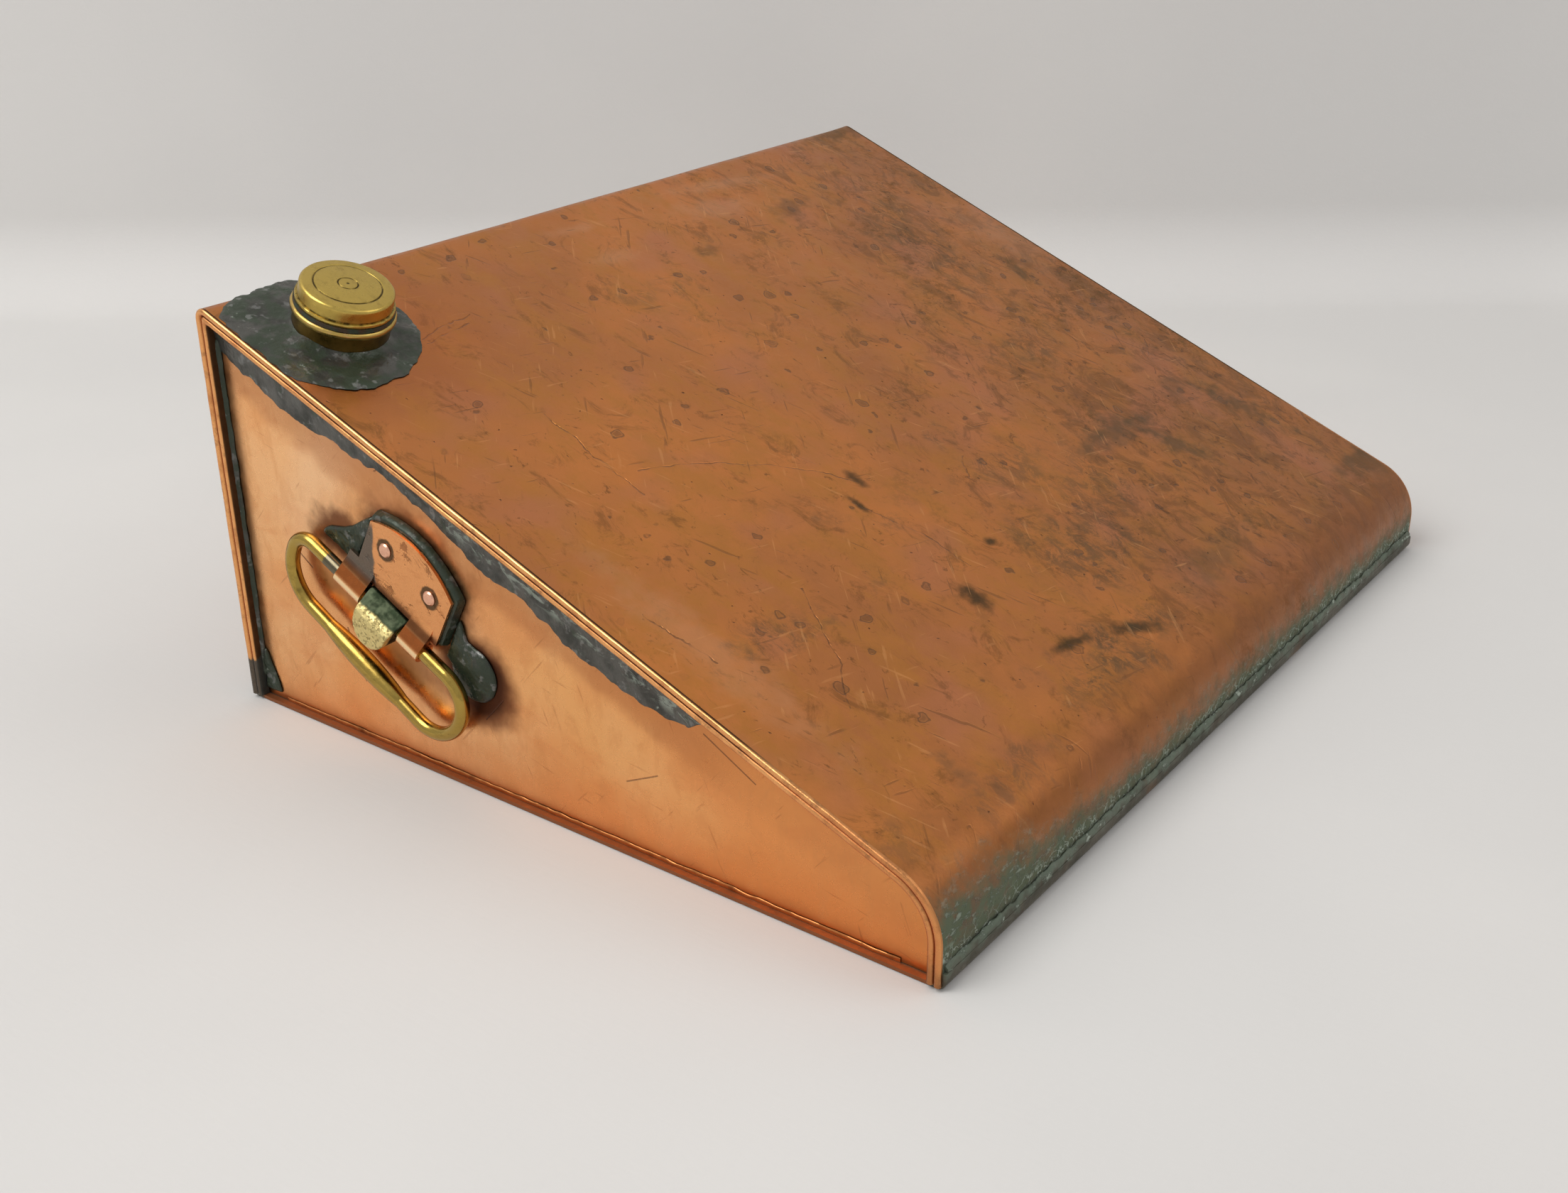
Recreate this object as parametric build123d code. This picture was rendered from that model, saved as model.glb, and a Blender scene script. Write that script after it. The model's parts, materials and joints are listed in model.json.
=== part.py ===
from build123d import *
import math
import os

# Copper carriage foot warmer: a wedge-shaped hot-water tank with a screw stopper on its
# sloping foot rest and a swing bail on one end.  Millimetres, +Z up.
# Origin: centre of the underside.  +Y is the tall back, -Y the rounded nose,
# -X the end with the handle.

# ---- driving dimensions -------------------------------------------------------------
width = 360.0            # end to end, over the rim seams
depth = 286.0            # back to nose
back_height = 142.0
nose_height = 27.0       # where the slope would meet the nose if it stayed sharp
sheet = 1.2              # copper sheet thickness
nose_radius = 22.0
back_fold_radius = 3.6

tray_front_height = 5.5
tray_back_height = 12.0
tray_bend = 3.0          # outside bend radius of the tray's turned-up edges

rim_cap_width = 4.8      # folded edge as seen from the end
rim_cap_depth = 1.5
end_recess = 4.0         # end panels sit this far inside the rim

neck_x = -147.0
neck_down_slope = 32.5   # from the tall back edge, along the slope
neck_radius = 15.7
neck_bore = 13.0
neck_height = 9.6        # lip above the slope
pool_radius = 28.0       # solder around the neck
pool_depth = 2.2
lip_radius = 17.2
lip_height = 2.2

washer_height = 1.3
washer_radius = 16.3
cap_radius = 15.3
cap_height = 6.2
cap_flange_radius = 16.1
cap_flange_height = 1.3
cap_top_radius = 14.3
dome_rise = 0.7
thread_pitch = 2.0
thread_turns = 4
thread_crest = 12.5
thread_root = 11.5

handle_y = 64.8          # middle of the handle's hinge line, seen on the end panel
handle_z = 53.7
handle_tilt = 28.0       # the hinge line drops this many degrees towards the nose
bracket_thickness = 3.0
plate_thickness = 1.1
wire_radius = 2.4
wire_stand_off = 4.5     # hinge line above the end panel
hinge_clearance = 0.1
knuckle_radius = 3.6
bail_tall_end = -42.3    # ends of the bail's centre line, from the middle of the hinge
bail_low_end = 40.0
bail_reach_tall = 22.3   # hinge line to grip at each end
bail_reach_low = 26.3
bail_corners = (7.5, 11.0, 14.0, 14.5)    # bend radii, from the tall hinge end round
grip_radius = 3.6
grip_half_length = 31.0
stud_radius = 7.3
stud_height = 11.1
stud_offset = (0.0, -3.2)
stud_clearance = 0.3     # around the wire in the stud
stud_back = 5.3          # end of the stud's ramp, at the foot of the hinge plate
stud_ramp_foot = 4.6     # height of the ramp there
stud_ramp_bend = (3.4, 7.2)
stud_ramp_top = -2.8     # where the ramp meets the flat face
stud_side_gap = 0.4      # to the knuckle on each side

knuckle_spans = [(-21.0, -9.0), (9.4, 18.6)]
rivet_places = [(-8.0, 21.6), (13.2, 20.0)]
rivet_shank = 1.9
rivet_head_radius = 2.4
rivet_head_height = 0.7
lobe_place = (35.7, 4.4)
lobe_radius = 9.5
patch_thickness = 1.6    # solder spread beside the bracket

bead_depth = 1.6         # solder run under the sloping rim
line_width = 3.4         # solder line beside the upright rim
line_depth = 1.2
corner_patch_width = 14.0
corner_patch_height = 16.0
touch = 0.02             # gap left between soldered faces
seam_gap = 0.05          # gap left between folded sheets

# ---- derived ------------------------------------------------------------------------
front_y = -depth / 2
back_y = depth / 2
shell_front = front_y + sheet
shell_back = back_y - sheet
slope = math.atan2(back_height - nose_height, depth)
rim_half = width / 2
shell_half = rim_half - rim_cap_depth - seam_gap
panel_face = rim_half - end_recess
wall_foot = tray_bend + 0.2
slope_up = Vector(0, -math.sin(slope), math.cos(slope))
slope_down = Vector(0, -math.cos(slope), -math.sin(slope))


def slope_z(y, inset=0.0):
    """Height of the sloping top at y, or of a surface parallel to it, inset below it."""
    return back_height - (shell_back - y) * math.tan(slope) - inset / math.cos(slope)


def wedge(inset, foot):
    """End-view outline of the tank, moved inwards by inset, standing at height foot."""
    front = shell_front + inset
    back = shell_back - inset
    corners = [
        (front, foot),
        (front, slope_z(front, inset)),
        (back, slope_z(back, inset)),
        (back, foot),
    ]
    outline = make_face(Polyline(*corners, close=True))
    nose = outline.vertices().sort_by(Axis.X)[:2].sort_by(Axis.Y)[-1]
    outline = fillet(nose, nose_radius - inset)
    top = outline.vertices().sort_by(Axis.Y)[-1]
    outline = fillet(top, max(back_fold_radius - inset, 0.6))
    return Plane.YZ * outline


def slab(face, x_from, x_to):
    """Solid between two x positions whose section is a face drawn on the YZ plane."""
    low, high = min(x_from, x_to), max(x_from, x_to)
    return extrude(Pos(low, 0, 0) * face, amount=high - low, dir=(1, 0, 0))


def on_slope(x, down, rise=0.0):
    """Frame on the sloping top: local X along +X, local Z square to the slope."""
    edge = Vector(x, shell_back, back_height)
    return Plane(edge + slope_down * down + slope_up * rise, x_dir=(1, 0, 0), z_dir=slope_up)


# ---- the tank -----------------------------------------------------------------------
def wrapper_sheet():
    """Back wall, foot rest and nose, bent from one sheet and open at both ends."""
    ring = wedge(0, wall_foot) - wedge(sheet, wall_foot - 1)
    shell = slab(ring, -shell_half, shell_half)
    hole = on_slope(neck_x, neck_down_slope) * Cylinder(neck_radius + 0.1, 20)
    return shell - hole


def base_tray():
    """Floor plate with its front and back edges turned up outside the wrapper."""
    corners = [
        (front_y, 0),
        (back_y, 0),
        (back_y, tray_back_height),
        (back_y - sheet, tray_back_height),
        (back_y - sheet, sheet),
        (front_y + sheet, sheet),
        (front_y + sheet, tray_front_height),
        (front_y, tray_front_height),
    ]
    outline = make_face(Polyline(*corners, close=True))
    outline = fillet(outline.vertices().sort_by(Axis.Y)[:2], tray_bend)
    inner = [v for v in outline.vertices() if abs(v.Y - sheet) < 0.01 and abs(v.X) > depth / 2 - 2]
    outline = fillet(inner, tray_bend - sheet)
    return slab(Plane.YZ * outline, -shell_half, shell_half)


def end_panel(side):
    """Flat end plate, soldered inside the wrapper and recessed below its rim."""
    floor = sheet + seam_gap
    inset = sheet + 0.1
    upper = wedge(inset, floor) - Plane.YZ * Rectangle(2 * depth, 2 * (floor + tray_bend))
    foot = [
        (shell_front + inset + tray_bend, floor),
        (shell_back - inset - tray_bend, floor),
        (shell_back - inset, floor + tray_bend),
        (shell_front + inset, floor + tray_bend),
    ]
    lower = Plane.YZ * make_face(Polyline(*foot, close=True))
    return slab(upper + lower, side * panel_face, side * (panel_face - sheet))


def rim_seam(side):
    """Folded seam that caps the edge of the wrapper and its end panel."""
    band = wedge(0, sheet) - wedge(rim_cap_width, sheet - 1)
    cap = slab(band, side * (rim_half - rim_cap_depth), side * rim_half)
    outer = cap.faces().sort_by(Axis.X)[-1 if side > 0 else 0]
    return fillet(outer.edges().filter_by(lambda e: e.length > 20), 0.6)


# ---- solder -------------------------------------------------------------------------
def top_bead(side):
    """Solder run in the corner below the sloping rim seam."""
    inset = 2 * sheet + 0.2
    start, end = shell_back - 8, front_y + 78
    corners = [
        (start, slope_z(start, inset)),
        (end, slope_z(end, inset)),
        (end + 6, slope_z(end + 6, inset + 8)),
        (start, slope_z(start, inset + 9)),
    ]
    strip = Plane.YZ * make_face(Polyline(*corners, close=True))
    return slab(strip, side * (panel_face + touch), side * (panel_face + bead_depth))


def back_bead(side):
    """Narrow solder line beside the upright rim seam."""
    inner = shell_back - 2 * sheet - 0.2
    place = Pos(inner - line_width / 2, back_height / 2 - 2)
    strip = Plane.YZ * place * Rectangle(line_width, back_height - 20)
    return slab(strip, side * (panel_face + touch), side * (panel_face + line_depth))


def foot_bead(side):
    """Solder along the foot of an end panel, on the floor plate."""
    length = depth - 2 * (tray_bend + 8)
    return Pos(side * (panel_face + 0.9), 0, sheet + 0.7) * Box(bead_depth, length, line_depth)


def lap_bead(y_face, height):
    """Solder bead on top of a turned-up tray edge, against the wrapper."""
    inner = y_face - math.copysign(sheet - touch, y_face)
    foot = height + touch
    corners = [(y_face, foot), (inner, foot), (inner, height + bead_depth)]
    section = Plane.YZ * make_face(Polyline(*corners, close=True))
    return slab(section, -shell_half + 2, shell_half - 2)


def corner_patch(side):
    """Solder wiped over the tray's back corner below the rim seam."""
    middle = sheet + 2.2 + corner_patch_height / 2
    place = Pos(side * (panel_face + 0.75), shell_back - 13, middle)
    return place * Box(1.4, corner_patch_width, corner_patch_height)


def neck_apron():
    """Solder pool around the neck, spread over the foot rest."""
    pool = on_slope(neck_x - 4, neck_down_slope, 0.05) * Cone(
        pool_radius, neck_radius + 6, pool_depth, align=(Align.CENTER, Align.CENTER, Align.MIN)
    )
    hole = on_slope(neck_x, neck_down_slope) * Cylinder(neck_radius + 0.05, 10)
    keep = Box(2 * (rim_half - 1.2), 2 * (shell_back - 2.5), 4 * back_height)
    return (pool - hole) & keep


# ---- filler neck and stopper --------------------------------------------------------
def filler_neck():
    """Turned brass neck with a rolled lip and an inner shoulder below the sheet."""
    corners = [
        (neck_bore, -4.0),
        (neck_radius, -4.0),
        (neck_radius, neck_height - lip_height),
        (lip_radius, neck_height - lip_height + 0.4),
        (lip_radius, neck_height),
        (neck_bore, neck_height),
    ]
    profile = make_face(Polyline(*corners, close=True))
    profile = fillet(profile.vertices().sort_by(Axis.X)[-2:], 0.7)
    return on_slope(neck_x, neck_down_slope) * revolve(Plane.XZ * profile, Axis.Z)


def stopper_washer():
    """Leather washer that seals the stopper on the lip of the neck."""
    ring = Cylinder(washer_radius, washer_height, align=(Align.CENTER, Align.CENTER, Align.MIN))
    ring -= Cylinder(thread_crest + 0.35, 10)
    return on_slope(neck_x, neck_down_slope, neck_height + 0.05) * ring


def screw_stopper():
    """Brass screw stopper: flanged cap with bevelled rim, domed top and threaded plug."""
    seat = neck_height + washer_height + 0.1
    top = seat + cap_flange_height + cap_height - 1.0
    plug_foot = seat - thread_turns * thread_pitch - 2.2
    points = [(0, plug_foot), (thread_root, plug_foot)]
    for turn in range(thread_turns):
        ring = plug_foot + 0.6 + turn * thread_pitch
        points += [(thread_root, ring), (thread_crest, ring + thread_pitch / 2)]
        points += [(thread_root, ring + thread_pitch - 0.2)]
    points += [
        (thread_root, seat),
        (cap_flange_radius, seat),
        (cap_flange_radius, seat + cap_flange_height),
        (cap_radius, seat + cap_flange_height),
        (cap_radius, top - 0.7),
        (cap_top_radius, top),
    ]
    crown = top + dome_rise
    points += [(cap_top_radius, crown), (0, crown)]
    blank = revolve(Plane.XZ * make_face(Polyline(*points, close=True)), Axis.Z)
    dome_radius = (cap_top_radius ** 2 + dome_rise ** 2) / (2 * dome_rise)
    dome = Pos(0, 0, crown - dome_radius) * Sphere(dome_radius)
    return on_slope(neck_x, neck_down_slope) * (blank & dome)


# ---- swing handle -------------------------------------------------------------------
def handle_plane(stand_off=0.0):
    """Frame on the handle end: local X down along the hinge line, local Z outwards."""
    tilt = math.radians(handle_tilt)
    along = Vector(0, -math.cos(tilt), -math.sin(tilt))
    return Plane(
        Vector(-panel_face - stand_off, handle_y, handle_z), x_dir=along, z_dir=(-1, 0, 0)
    )


def arched_outline(left, right, foot, shoulder_left, shoulder_right, crown):
    """Plate outline with straight sides and an arched top."""
    with BuildSketch() as outline:
        with BuildLine():
            Polyline(
                (left, shoulder_left), (left, foot), (right, foot), (right, shoulder_right)
            )
            ThreePointArc((right, shoulder_right), (crown[0], crown[1]), (left, shoulder_left))
        make_face()
    return outline.sketch


def rivet_holes():
    """Clearance holes for the two rivets."""
    return [Pos(u, v, 0) * Cylinder(rivet_shank + 0.03, 30) for u, v in rivet_places]


def handle_bracket():
    """Brass back plate of the handle, soldered to the end panel."""
    outline = arched_outline(-18.6, 23.4, 5.4, 28.4, 26.0, (1.5, 33.4))
    body = extrude(outline, amount=bracket_thickness)
    rim = body.faces().sort_by(Axis.Z)[-1].edges()
    body = fillet(rim, 0.8)
    for hole in rivet_holes():
        body -= hole
    return handle_plane(touch) * body


def hinge_stud():
    """Brass lug between the knuckles: round flat face, and a ramp back to the foot of the plate."""
    centre_u, centre_v = stud_offset
    tongue = [
        (centre_u - stud_radius, centre_v),
        (centre_u + stud_radius, centre_v),
        (knuckle_spans[1][0] - stud_side_gap, stud_back),
        (knuckle_spans[0][1] + stud_side_gap, stud_back),
    ]
    plan = Pos(*stud_offset) * Circle(stud_radius) + make_face(Polyline(*tongue, close=True))
    side = [
        (-12.0, 0.0),
        (stud_back, 0.0),
        (stud_back, stud_ramp_foot),
        stud_ramp_bend,
        (stud_ramp_top, stud_height),
        (-12.0, stud_height),
    ]
    profile = slab(Plane.YZ * make_face(Polyline(*side, close=True)), -12, 12)
    lug = Pos(0, 0, touch) * (extrude(plan, amount=stud_height) & profile)
    bore = Pos(0, 0, wire_stand_off) * Rot(0, 90, 0) * Cylinder(wire_radius + stud_clearance, 60)
    return handle_plane() * (lug - bore)


def knuckle(u_from, u_to):
    """Rolled knuckle with the ramp that joins it to the hinge plate."""
    low = bracket_thickness + seam_gap
    high = low + plate_thickness
    barrel = Pos(0, wire_stand_off) * Circle(knuckle_radius)
    bore = Pos(0, wire_stand_off) * Circle(wire_radius + hinge_clearance)
    ramp = [
        (10.5, low),
        (10.5, high),
        (7.6, high + 0.5),
        (1.6, wire_stand_off + 3.2),
        (1.6, wire_stand_off),
        (6.6, low),
    ]
    section = barrel + make_face(Polyline(*ramp, close=True)) - bore
    return slab(Plane.YZ * section, u_from, u_to)


def hinge_plate():
    """Copper plate riveted to the bracket, its foot rolled into two knuckles."""
    outline = arched_outline(-16.8, 21.4, 6.0, 26.6, 24.8, (0.5, 31.6))
    body = Pos(0, 0, bracket_thickness + seam_gap) * extrude(outline, amount=plate_thickness)
    for span in knuckle_spans:
        body += knuckle(*span)
    for hole in rivet_holes():
        body -= hole
    return handle_plane() * body


def hinge_rivets():
    """Two copper rivets with low heads."""
    head_low = bracket_thickness + plate_thickness + 0.08
    rivets = []
    for u, v in rivet_places:
        shank = Pos(u, v, seam_gap) * Cylinder(
            rivet_shank, head_low, align=(Align.CENTER, Align.CENTER, Align.MIN)
        )
        head = Pos(u, v, head_low) * Cylinder(
            rivet_head_radius, rivet_head_height, align=(Align.CENTER, Align.CENTER, Align.MIN)
        )
        head = chamfer(head.edges().sort_by(Axis.Z)[-1], 0.45)
        rivets.append(shank + head)
    return handle_plane() * Compound(children=rivets)


def solder_ear():
    """Solder web that runs from the bracket's tall side along the bail."""
    corners = [(-18.7, 25.5), (-18.7, 3.0), (-37.0, 3.0), (-34.5, 6.0), (-26.0, 12.0)]
    web = make_face(Polyline(*corners, close=True))
    return handle_plane(touch) * extrude(web, amount=patch_thickness)


def solder_lobe():
    """Round solder pad beside the bracket's low side, joined to it by a neck."""
    with BuildSketch() as outline:
        with Locations(lobe_place):
            Circle(lobe_radius)
        with BuildLine():
            Polyline((23.5, 13.0), (23.5, 2.0), lobe_place, (36.0, 12.0), close=True)
        make_face()
    return handle_plane(touch) * extrude(outline.sketch, amount=patch_thickness)


def bail():
    """Brass bail: closed wire loop through the knuckles, with a thicker grip."""
    corners = [
        (bail_tall_end, 0),
        (bail_low_end, 0),
        (bail_low_end, -bail_reach_low),
        (bail_tall_end, -bail_reach_tall),
    ]
    loop = FilletPolyline(*corners, radius=list(bail_corners), close=True)
    wire = sweep(Plane(loop @ 0, z_dir=loop % 0) * Circle(wire_radius), path=loop)
    ends = (-grip_half_length, 0), (grip_half_length, 0)
    swell = make_face([ThreePointArc(ends[0], (0, grip_radius), ends[1]), Line(*ends)])
    grip_lean = math.degrees(
        math.atan2(bail_reach_tall - bail_reach_low, bail_low_end - bail_tall_end)
    )
    middle = ((bail_tall_end + bail_low_end) / 2, -(bail_reach_tall + bail_reach_low) / 2)
    grip = Pos(*middle, 0) * Rot(0, 0, grip_lean) * revolve(swell, Axis.X)
    return handle_plane(wire_stand_off) * (wire + grip)


parts = {
    "wrapper_sheet": wrapper_sheet(),
    "base_tray": base_tray(),
    "handle_end_panel": end_panel(-1),
    "plain_end_panel": end_panel(1),
    "handle_end_rim_seam": rim_seam(-1),
    "plain_end_rim_seam": rim_seam(1),
    "handle_end_top_solder": top_bead(-1),
    "plain_end_top_solder": top_bead(1),
    "handle_end_back_solder": back_bead(-1),
    "plain_end_back_solder": back_bead(1),
    "handle_end_foot_solder": foot_bead(-1),
    "plain_end_foot_solder": foot_bead(1),
    "handle_end_corner_solder": corner_patch(-1),
    "plain_end_corner_solder": corner_patch(1),
    "front_lap_solder": lap_bead(front_y, tray_front_height),
    "back_lap_solder": lap_bead(back_y, tray_back_height),
    "filler_neck": filler_neck(),
    "neck_solder_apron": neck_apron(),
    "stopper_washer": stopper_washer(),
    "screw_stopper": screw_stopper(),
    "handle_bracket": handle_bracket(),
    "hinge_stud": hinge_stud(),
    "hinge_plate": hinge_plate(),
    "hinge_rivets": hinge_rivets(),
    "bracket_solder_ear": solder_ear(),
    "bracket_solder_lobe": solder_lobe(),
    "bail": bail(),
}

os.makedirs("parts", exist_ok=True)
for name, shape in parts.items():
    export_step(shape, f"parts/{name}.step")
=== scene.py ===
import json
import math

import bmesh
import bpy
from mathutils import Matrix, Vector, noise


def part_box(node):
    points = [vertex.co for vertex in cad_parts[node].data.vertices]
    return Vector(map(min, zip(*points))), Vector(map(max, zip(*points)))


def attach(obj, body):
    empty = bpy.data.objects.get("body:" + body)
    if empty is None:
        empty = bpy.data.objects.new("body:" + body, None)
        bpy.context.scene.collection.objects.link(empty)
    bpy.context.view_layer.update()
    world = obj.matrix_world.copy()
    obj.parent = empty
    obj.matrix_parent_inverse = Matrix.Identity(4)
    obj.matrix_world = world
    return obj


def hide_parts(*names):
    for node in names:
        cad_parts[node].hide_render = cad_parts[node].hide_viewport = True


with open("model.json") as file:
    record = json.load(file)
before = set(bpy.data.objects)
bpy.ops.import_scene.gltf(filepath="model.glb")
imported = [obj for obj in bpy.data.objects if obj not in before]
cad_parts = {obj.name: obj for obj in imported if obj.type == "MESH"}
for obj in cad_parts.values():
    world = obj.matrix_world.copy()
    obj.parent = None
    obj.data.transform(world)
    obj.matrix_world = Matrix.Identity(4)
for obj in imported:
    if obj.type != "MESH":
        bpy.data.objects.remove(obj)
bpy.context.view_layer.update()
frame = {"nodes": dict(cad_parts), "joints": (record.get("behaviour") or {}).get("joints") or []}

MM = 0.001

# ---- places read from the frame -----------------------------------------------------
joints = {joint["name"]: joint for joint in frame["joints"]}
NECK = Vector(joints["stopper_turn"]["pos_m"]) / MM
UP = Vector(joints["stopper_turn"]["axis"])
DOWN = Vector((0, -UP.z, UP.y))
HINGE = Vector(joints["bail_swing"]["pos_m"]) / MM
ALONG = -Vector(joints["bail_swing"]["axis"])
shell_low, shell_high = (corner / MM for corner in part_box("wrapper_sheet"))
seam_low, seam_high = (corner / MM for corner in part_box("plain_end_rim_seam"))
panel_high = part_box("plain_end_panel")[1] / MM
tray_low, tray_high = (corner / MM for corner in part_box("base_tray"))
RIM_X = seam_high.x
SHELL_X = shell_high.x
FRONT, BACK = shell_low.y, shell_high.y
PANEL_X = round(panel_high.x, 3)
PANEL_FOOT, PANEL_CORNER = 1.3, 3.0      # gap over the tray, and cut at its bends
FOOT = shell_low.z
SHEET = 1.2
NECK_DOWN = 32.5
EDGE = Vector((0, NECK.y, NECK.z)) - DOWN * NECK_DOWN      # the sharp tall edge of the slope
FOLD_RADIUS, NOSE_RADIUS = 3.6, 22.0
LIFT, THINNEST = 0.03, 0.06               # of solder over what it lies on
BACK_LAP_RISE = (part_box("back_lap_solder")[0].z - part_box("front_lap_solder")[0].z) / MM


# ---- geometry helpers, in millimetres -----------------------------------------------
def rough(point, size, seed=0.0, octaves=3):
    """Smooth noise from about -1 to 1 with features of the given size."""
    return noise.fractal(Vector(point) / size + Vector((seed, seed * 1.7, -seed)), 0.8, 2.0, octaves)


def on_handle(u, v, w):
    """Point by the handle: u along the hinge line, v across it, w out from the panel."""
    across = Vector((0, ALONG.z, -ALONG.y))
    return Vector((-PANEL_X - w, HINGE.y, HINGE.z)) + ALONG * u + across * v


def smooth(t):
    t = min(max(t, 0.0), 1.0)
    return t * t * (3 - 2 * t)


def along_table(table, t):
    """Value at t of a smooth line through (t, value) pairs."""
    if t <= table[0][0]:
        return table[0][1]
    for (t0, a), (t1, b) in zip(table, table[1:]):
        if t <= t1:
            return a + (b - a) * smooth((t - t0) / (t1 - t0))
    return table[-1][1]


def along_straight(table, t):
    """Value at t of a straight-sided line through (t, value) pairs."""
    if t <= table[0][0]:
        return table[0][1]
    for (t0, a), (t1, b) in zip(table, table[1:]):
        if t <= t1:
            return a + (b - a) * (t - t0) / (t1 - t0)
    return table[-1][1]


def rounded(corners, radii, count):
    """Evenly spaced points and outward normals along an open line with rounded corners."""
    dense = [Vector(corners[0])]
    for before, corner, after, radius in zip(corners, corners[1:], corners[2:], radii):
        c = Vector(corner)
        d0 = (Vector(before) - c).normalized()
        d1 = (Vector(after) - c).normalized()
        half = d0.angle(d1) / 2
        reach = radius / math.tan(half)
        centre = c + (d0 + d1).normalized() * (radius / math.sin(half))
        a = c + d0 * reach - centre
        b = c + d1 * reach - centre
        turn = a.angle_signed(b)
        arc = max(4, int(abs(turn) * radius / 0.5))
        for k in range(arc + 1):
            share = math.sin(abs(turn) * k / arc) / math.sin(abs(turn))
            rest = math.sin(abs(turn) * (1 - k / arc)) / math.sin(abs(turn))
            dense.append(centre + a * rest + b * share)
    dense.append(Vector(corners[-1]))
    lengths = [0.0]
    for p, q in zip(dense, dense[1:]):
        lengths.append(lengths[-1] + (q - p).length)
    points, k = [], 0
    for i in range(count + 1):
        want = lengths[-1] * i / count
        while k < len(dense) - 2 and lengths[k + 1] < want:
            k += 1
        share = (want - lengths[k]) / max(lengths[k + 1] - lengths[k], 1e-9)
        points.append(dense[k].lerp(dense[k + 1], share))
    normals = []
    for i, p in enumerate(points):
        run = points[min(i + 1, count)] - points[max(i - 1, 0)]
        normals.append(Vector((run.y, -run.x)).normalized())
    return points, normals


def wedge_line(inset, foot, count):
    """End-view line of the tank from the back foot over the slope to the front foot."""
    front, back = FRONT + inset, BACK - inset

    def top(y):
        return EDGE.z + (EDGE.y - y) * DOWN.z / -DOWN.y - inset / UP.z

    corners = [(back, foot), (back, top(back)), (front, top(front)), (front, foot)]
    radii = [max(FOLD_RADIUS - inset, 0.6), NOSE_RADIUS - inset]
    points, normals = rounded(corners, radii, count)
    if normals[0].x < 0:
        normals = [-n for n in normals]
    return points, normals


def finish_mesh(name, verts, faces, material, body, replaced=()):
    mesh = bpy.data.meshes.new(name)
    mesh.from_pydata([Vector(v) * MM for v in verts], [], faces)
    mesh.update()
    tidy = bmesh.new()
    tidy.from_mesh(mesh)
    bmesh.ops.delete(tidy, geom=[v for v in tidy.verts if not v.link_faces], context="VERTS")
    bmesh.ops.remove_doubles(tidy, verts=tidy.verts, dist=1e-7)
    loose = [e for e in tidy.edges if not e.link_faces]
    bmesh.ops.delete(tidy, geom=loose, context="EDGES")
    bmesh.ops.recalc_face_normals(tidy, faces=tidy.faces)
    tidy.to_mesh(mesh)
    tidy.free()
    mesh.shade_smooth()
    mesh.set_sharp_from_angle(angle=math.radians(50))
    piece = bpy.data.objects.new(name, mesh)
    bpy.context.scene.collection.objects.link(piece)
    mesh.materials.append(material)
    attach(piece, body)
    if replaced:
        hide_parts(*replaced)
    return piece


def plate(outer, inner, keep=None, loop=False):
    """Closed skin from two matching grids of points; loop joins the last column to the first."""
    rows, cols = len(outer), len(outer[0])
    verts = [p for row in outer for p in row] + [p for row in inner for p in row]
    far = rows * cols
    faces, edges = [], {}
    for i in range(rows - 1):
        for j in range(cols if loop else cols - 1):
            if keep and not keep(i, j):
                continue
            k = (j + 1) % cols
            quad = [i * cols + j, (i + 1) * cols + j, (i + 1) * cols + k, i * cols + k]
            faces.append(quad)
            faces.append([far + v for v in reversed(quad)])
            for a, b in zip(quad, quad[1:] + quad[:1]):
                edges[(a, b)] = True
    for a, b in edges:
        if (b, a) not in edges:
            faces.append([b, a, far + a, far + b])
    return verts, faces


def swept_faces(rows, n):
    """Faces of a closed section of n points swept through rows steps, with both ends."""
    faces = []
    for i in range(rows):
        for k in range(n):
            m = (k + 1) % n
            faces.append([i * n + k, i * n + m, (i + 1) * n + m, (i + 1) * n + k])
    faces.append(list(range(n)))
    faces.append(list(reversed(range(rows * n, rows * n + n))))
    return faces


def lathe(profile, place, steps=96, wobble=None):
    """Turned body from (radius, height) pairs; place(x, y, z) puts it in the row frame."""
    verts, faces = [], []
    for radius, height in profile:
        for k in range(steps):
            turn = 2 * math.pi * k / steps
            r, h = (radius, height) if wobble is None else wobble(radius, height, turn)
            verts.append(place(r * math.cos(turn), r * math.sin(turn), h))
    rows = len(profile)
    closed = profile[0][0] > 0.01 and profile[-1][0] > 0.01
    for i in range(rows if closed else rows - 1):
        j = (i + 1) % rows
        for k in range(steps):
            m = (k + 1) % steps
            faces.append([i * steps + k, i * steps + m, j * steps + m, j * steps + k])
    return verts, faces


def reach(outline, centre, angle):
    """Distance from centre to a closed outline in a direction given in radians."""
    ray = Vector((math.cos(angle), math.sin(angle)))
    best = 0.0
    for p, q in zip(outline, outline[1:] + outline[:1]):
        a, b = Vector(p) - Vector(centre), Vector(q) - Vector(centre)
        run = b - a
        bottom = ray.x * run.y - ray.y * run.x
        if abs(bottom) < 1e-9:
            continue
        t = (a.x * run.y - a.y * run.x) / bottom
        share = (a.x * ray.y - a.y * ray.x) / bottom
        if t > 0 and -1e-6 <= share <= 1 + 1e-6:
            best = max(best, t)
    return best


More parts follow.
